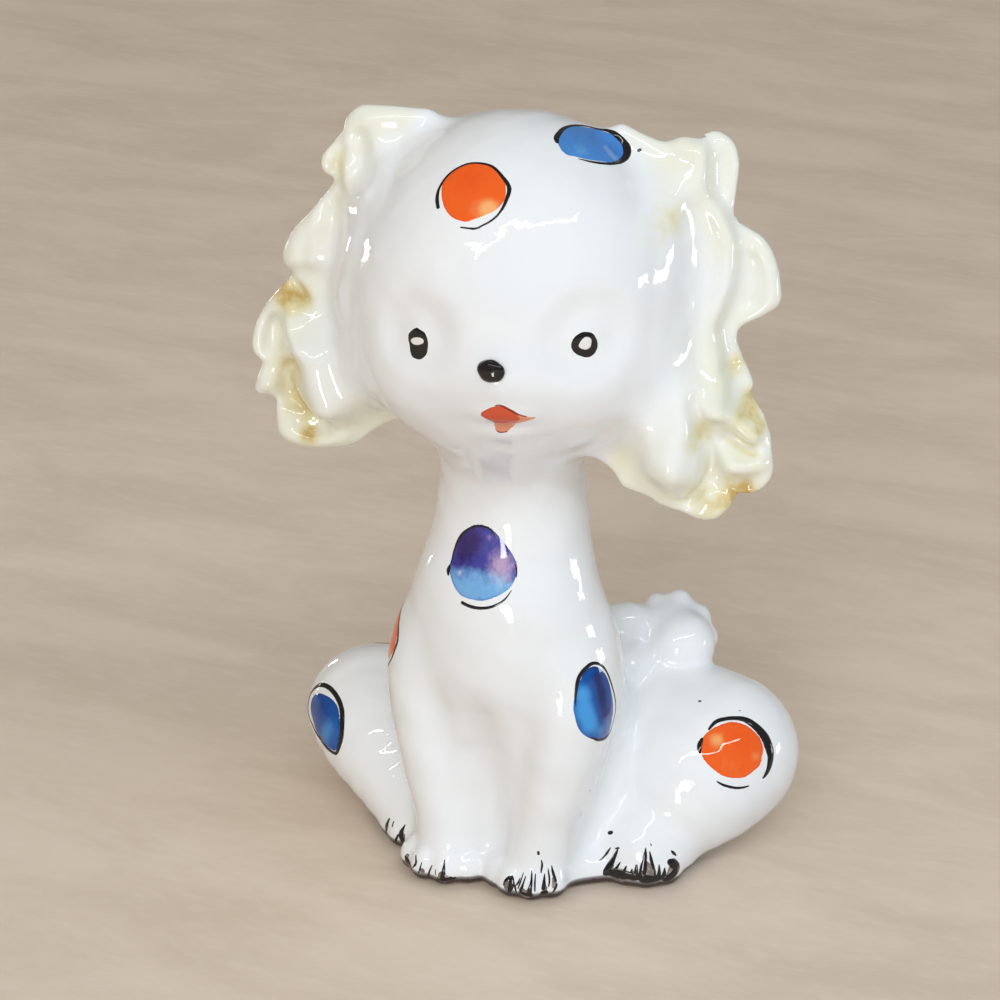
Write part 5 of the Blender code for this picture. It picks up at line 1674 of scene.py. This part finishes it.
# The room's soft light, warm wood on the dog's right and daylight on its left. The glaze mirrors a
# dimmer room than the one that lights it.
WARM_SIDE, DAY_SIDE = color(1.0, 0.89, 0.73), color(0.86, 0.94, 1.0)
ROOM_LIGHT, MIRROR_DIMMING = 0.5, 0.55
sky = Wires(world.node_tree)
mirrored = sky.add("ShaderNodeLightPath").outputs["Is Glossy Ray"]
way_out = sky.add("ShaderNodeSeparateXYZ", {0: sky.add("ShaderNodeTexCoord").outputs["Generated"]})
room = sky.mix(sky.step(way_out.outputs["X"], -0.7, 0.6), WARM_SIDE, DAY_SIDE)
strength = sky.times(sky.less(1.0, sky.times(mirrored, MIRROR_DIMMING)), ROOM_LIGHT)
sky.join(world.node_tree.nodes["Background"], color=room, strength=strength)

HEAD_MIDDLE = Vector((HEAD_SIDE, HEAD_BACK, HEAD_HEIGHT)) * MM


def from_head(around, up, distance):
    """The place at this distance from the head's middle, round from straight ahead and up from level."""
    return HEAD_MIDDLE + Vector(facing(around, up)[0]) * distance


def lamp(name, middle, size, power, tint, along=Vector((0, 0, 1)), **unseen):
    """A flat lamp that looks at the head, its length along a given way."""
    data = bpy.data.lights.new(name, "AREA")
    data.shape = "RECTANGLE"
    data.size, data.size_y = size
    data.energy, data.color = power, tint
    thing = bpy.data.objects.new(name, data)
    thing.location = middle
    back = (middle - HEAD_MIDDLE).normalized()
    side = (along - along.dot(back) * back).normalized()
    thing.rotation_euler = Matrix((side, back.cross(side), back)).transposed().to_euler()
    scene.collection.objects.link(thing)
    for ray, seen in unseen.items():
        setattr(thing, ray, seen)


# The tube lamp runs between the two ways that its streak on the forehead reflects
tube_start, tube_end = from_head(-17, 31, 1.0), from_head(85, 42, 1.0)
tube = tube_end - tube_start
lamp("tube_lamp", (tube_start + tube_end) / 2, (tube.length, 0.035), 2.2, (1.0, 0.985, 0.96), tube)
# The windows are seen in the glaze only, and light nothing: place, length and width, power, tint
WINDOWS = {
    "left_window": (from_head(113, -4, 0.6), (0.09, 0.12), 0.3, (0.92, 0.96, 1.0)),
    "right_window": (from_head(-105, -8, 0.6), (0.16, 0.05), 0.25, (1.0, 0.95, 0.88)),
    "front_window": (Vector((0.031, -0.146, 0.027)), (0.048, 0.022), 0.055, (1.0, 1.0, 1.0)),
    "side_strip": (from_head(-130, -2, 0.5), (0.1, 0.03), 0.1, (1.0, 0.98, 0.95)),
}
# Two large soft lamps light the figurine and aren't seen in the glaze
SOFT_LAMPS = {
    "front_soft": (from_head(14, 18, 0.9), (0.45, 0.45), 3.2, (0.86, 0.93, 1.0)),
    "cool_side": (from_head(82, 19, 0.9), (0.34, 0.34), 1.0, (0.66, 0.85, 1.0)),
}
for name, values in WINDOWS.items():
    lamp(name, *values, visible_diffuse=False)
for name, values in SOFT_LAMPS.items():
    lamp(name, *values, visible_glossy=False)

# The camera looks from the dog's left, above level, as the photograph's did
AZIMUTH, ELEVATION, DISTANCE = 22.0, 25.0, 0.42
TARGET = Vector((-0.0036, 0.00415, 0.045))
LENS, SENSOR_WIDTH, CLIP_START = 126.25, 36.0, 0.01
view_way = Vector(facing(AZIMUTH, ELEVATION)[0])
camera_data = bpy.data.cameras.new("camera")
camera_data.lens, camera_data.sensor_width, camera_data.clip_start = LENS, SENSOR_WIDTH, CLIP_START
camera = bpy.data.objects.new("camera", camera_data)
camera.location = TARGET + view_way * DISTANCE
camera.rotation_euler = (-view_way).to_track_quat("-Z", "Y").to_euler()
scene.collection.objects.link(camera)
scene.camera = camera
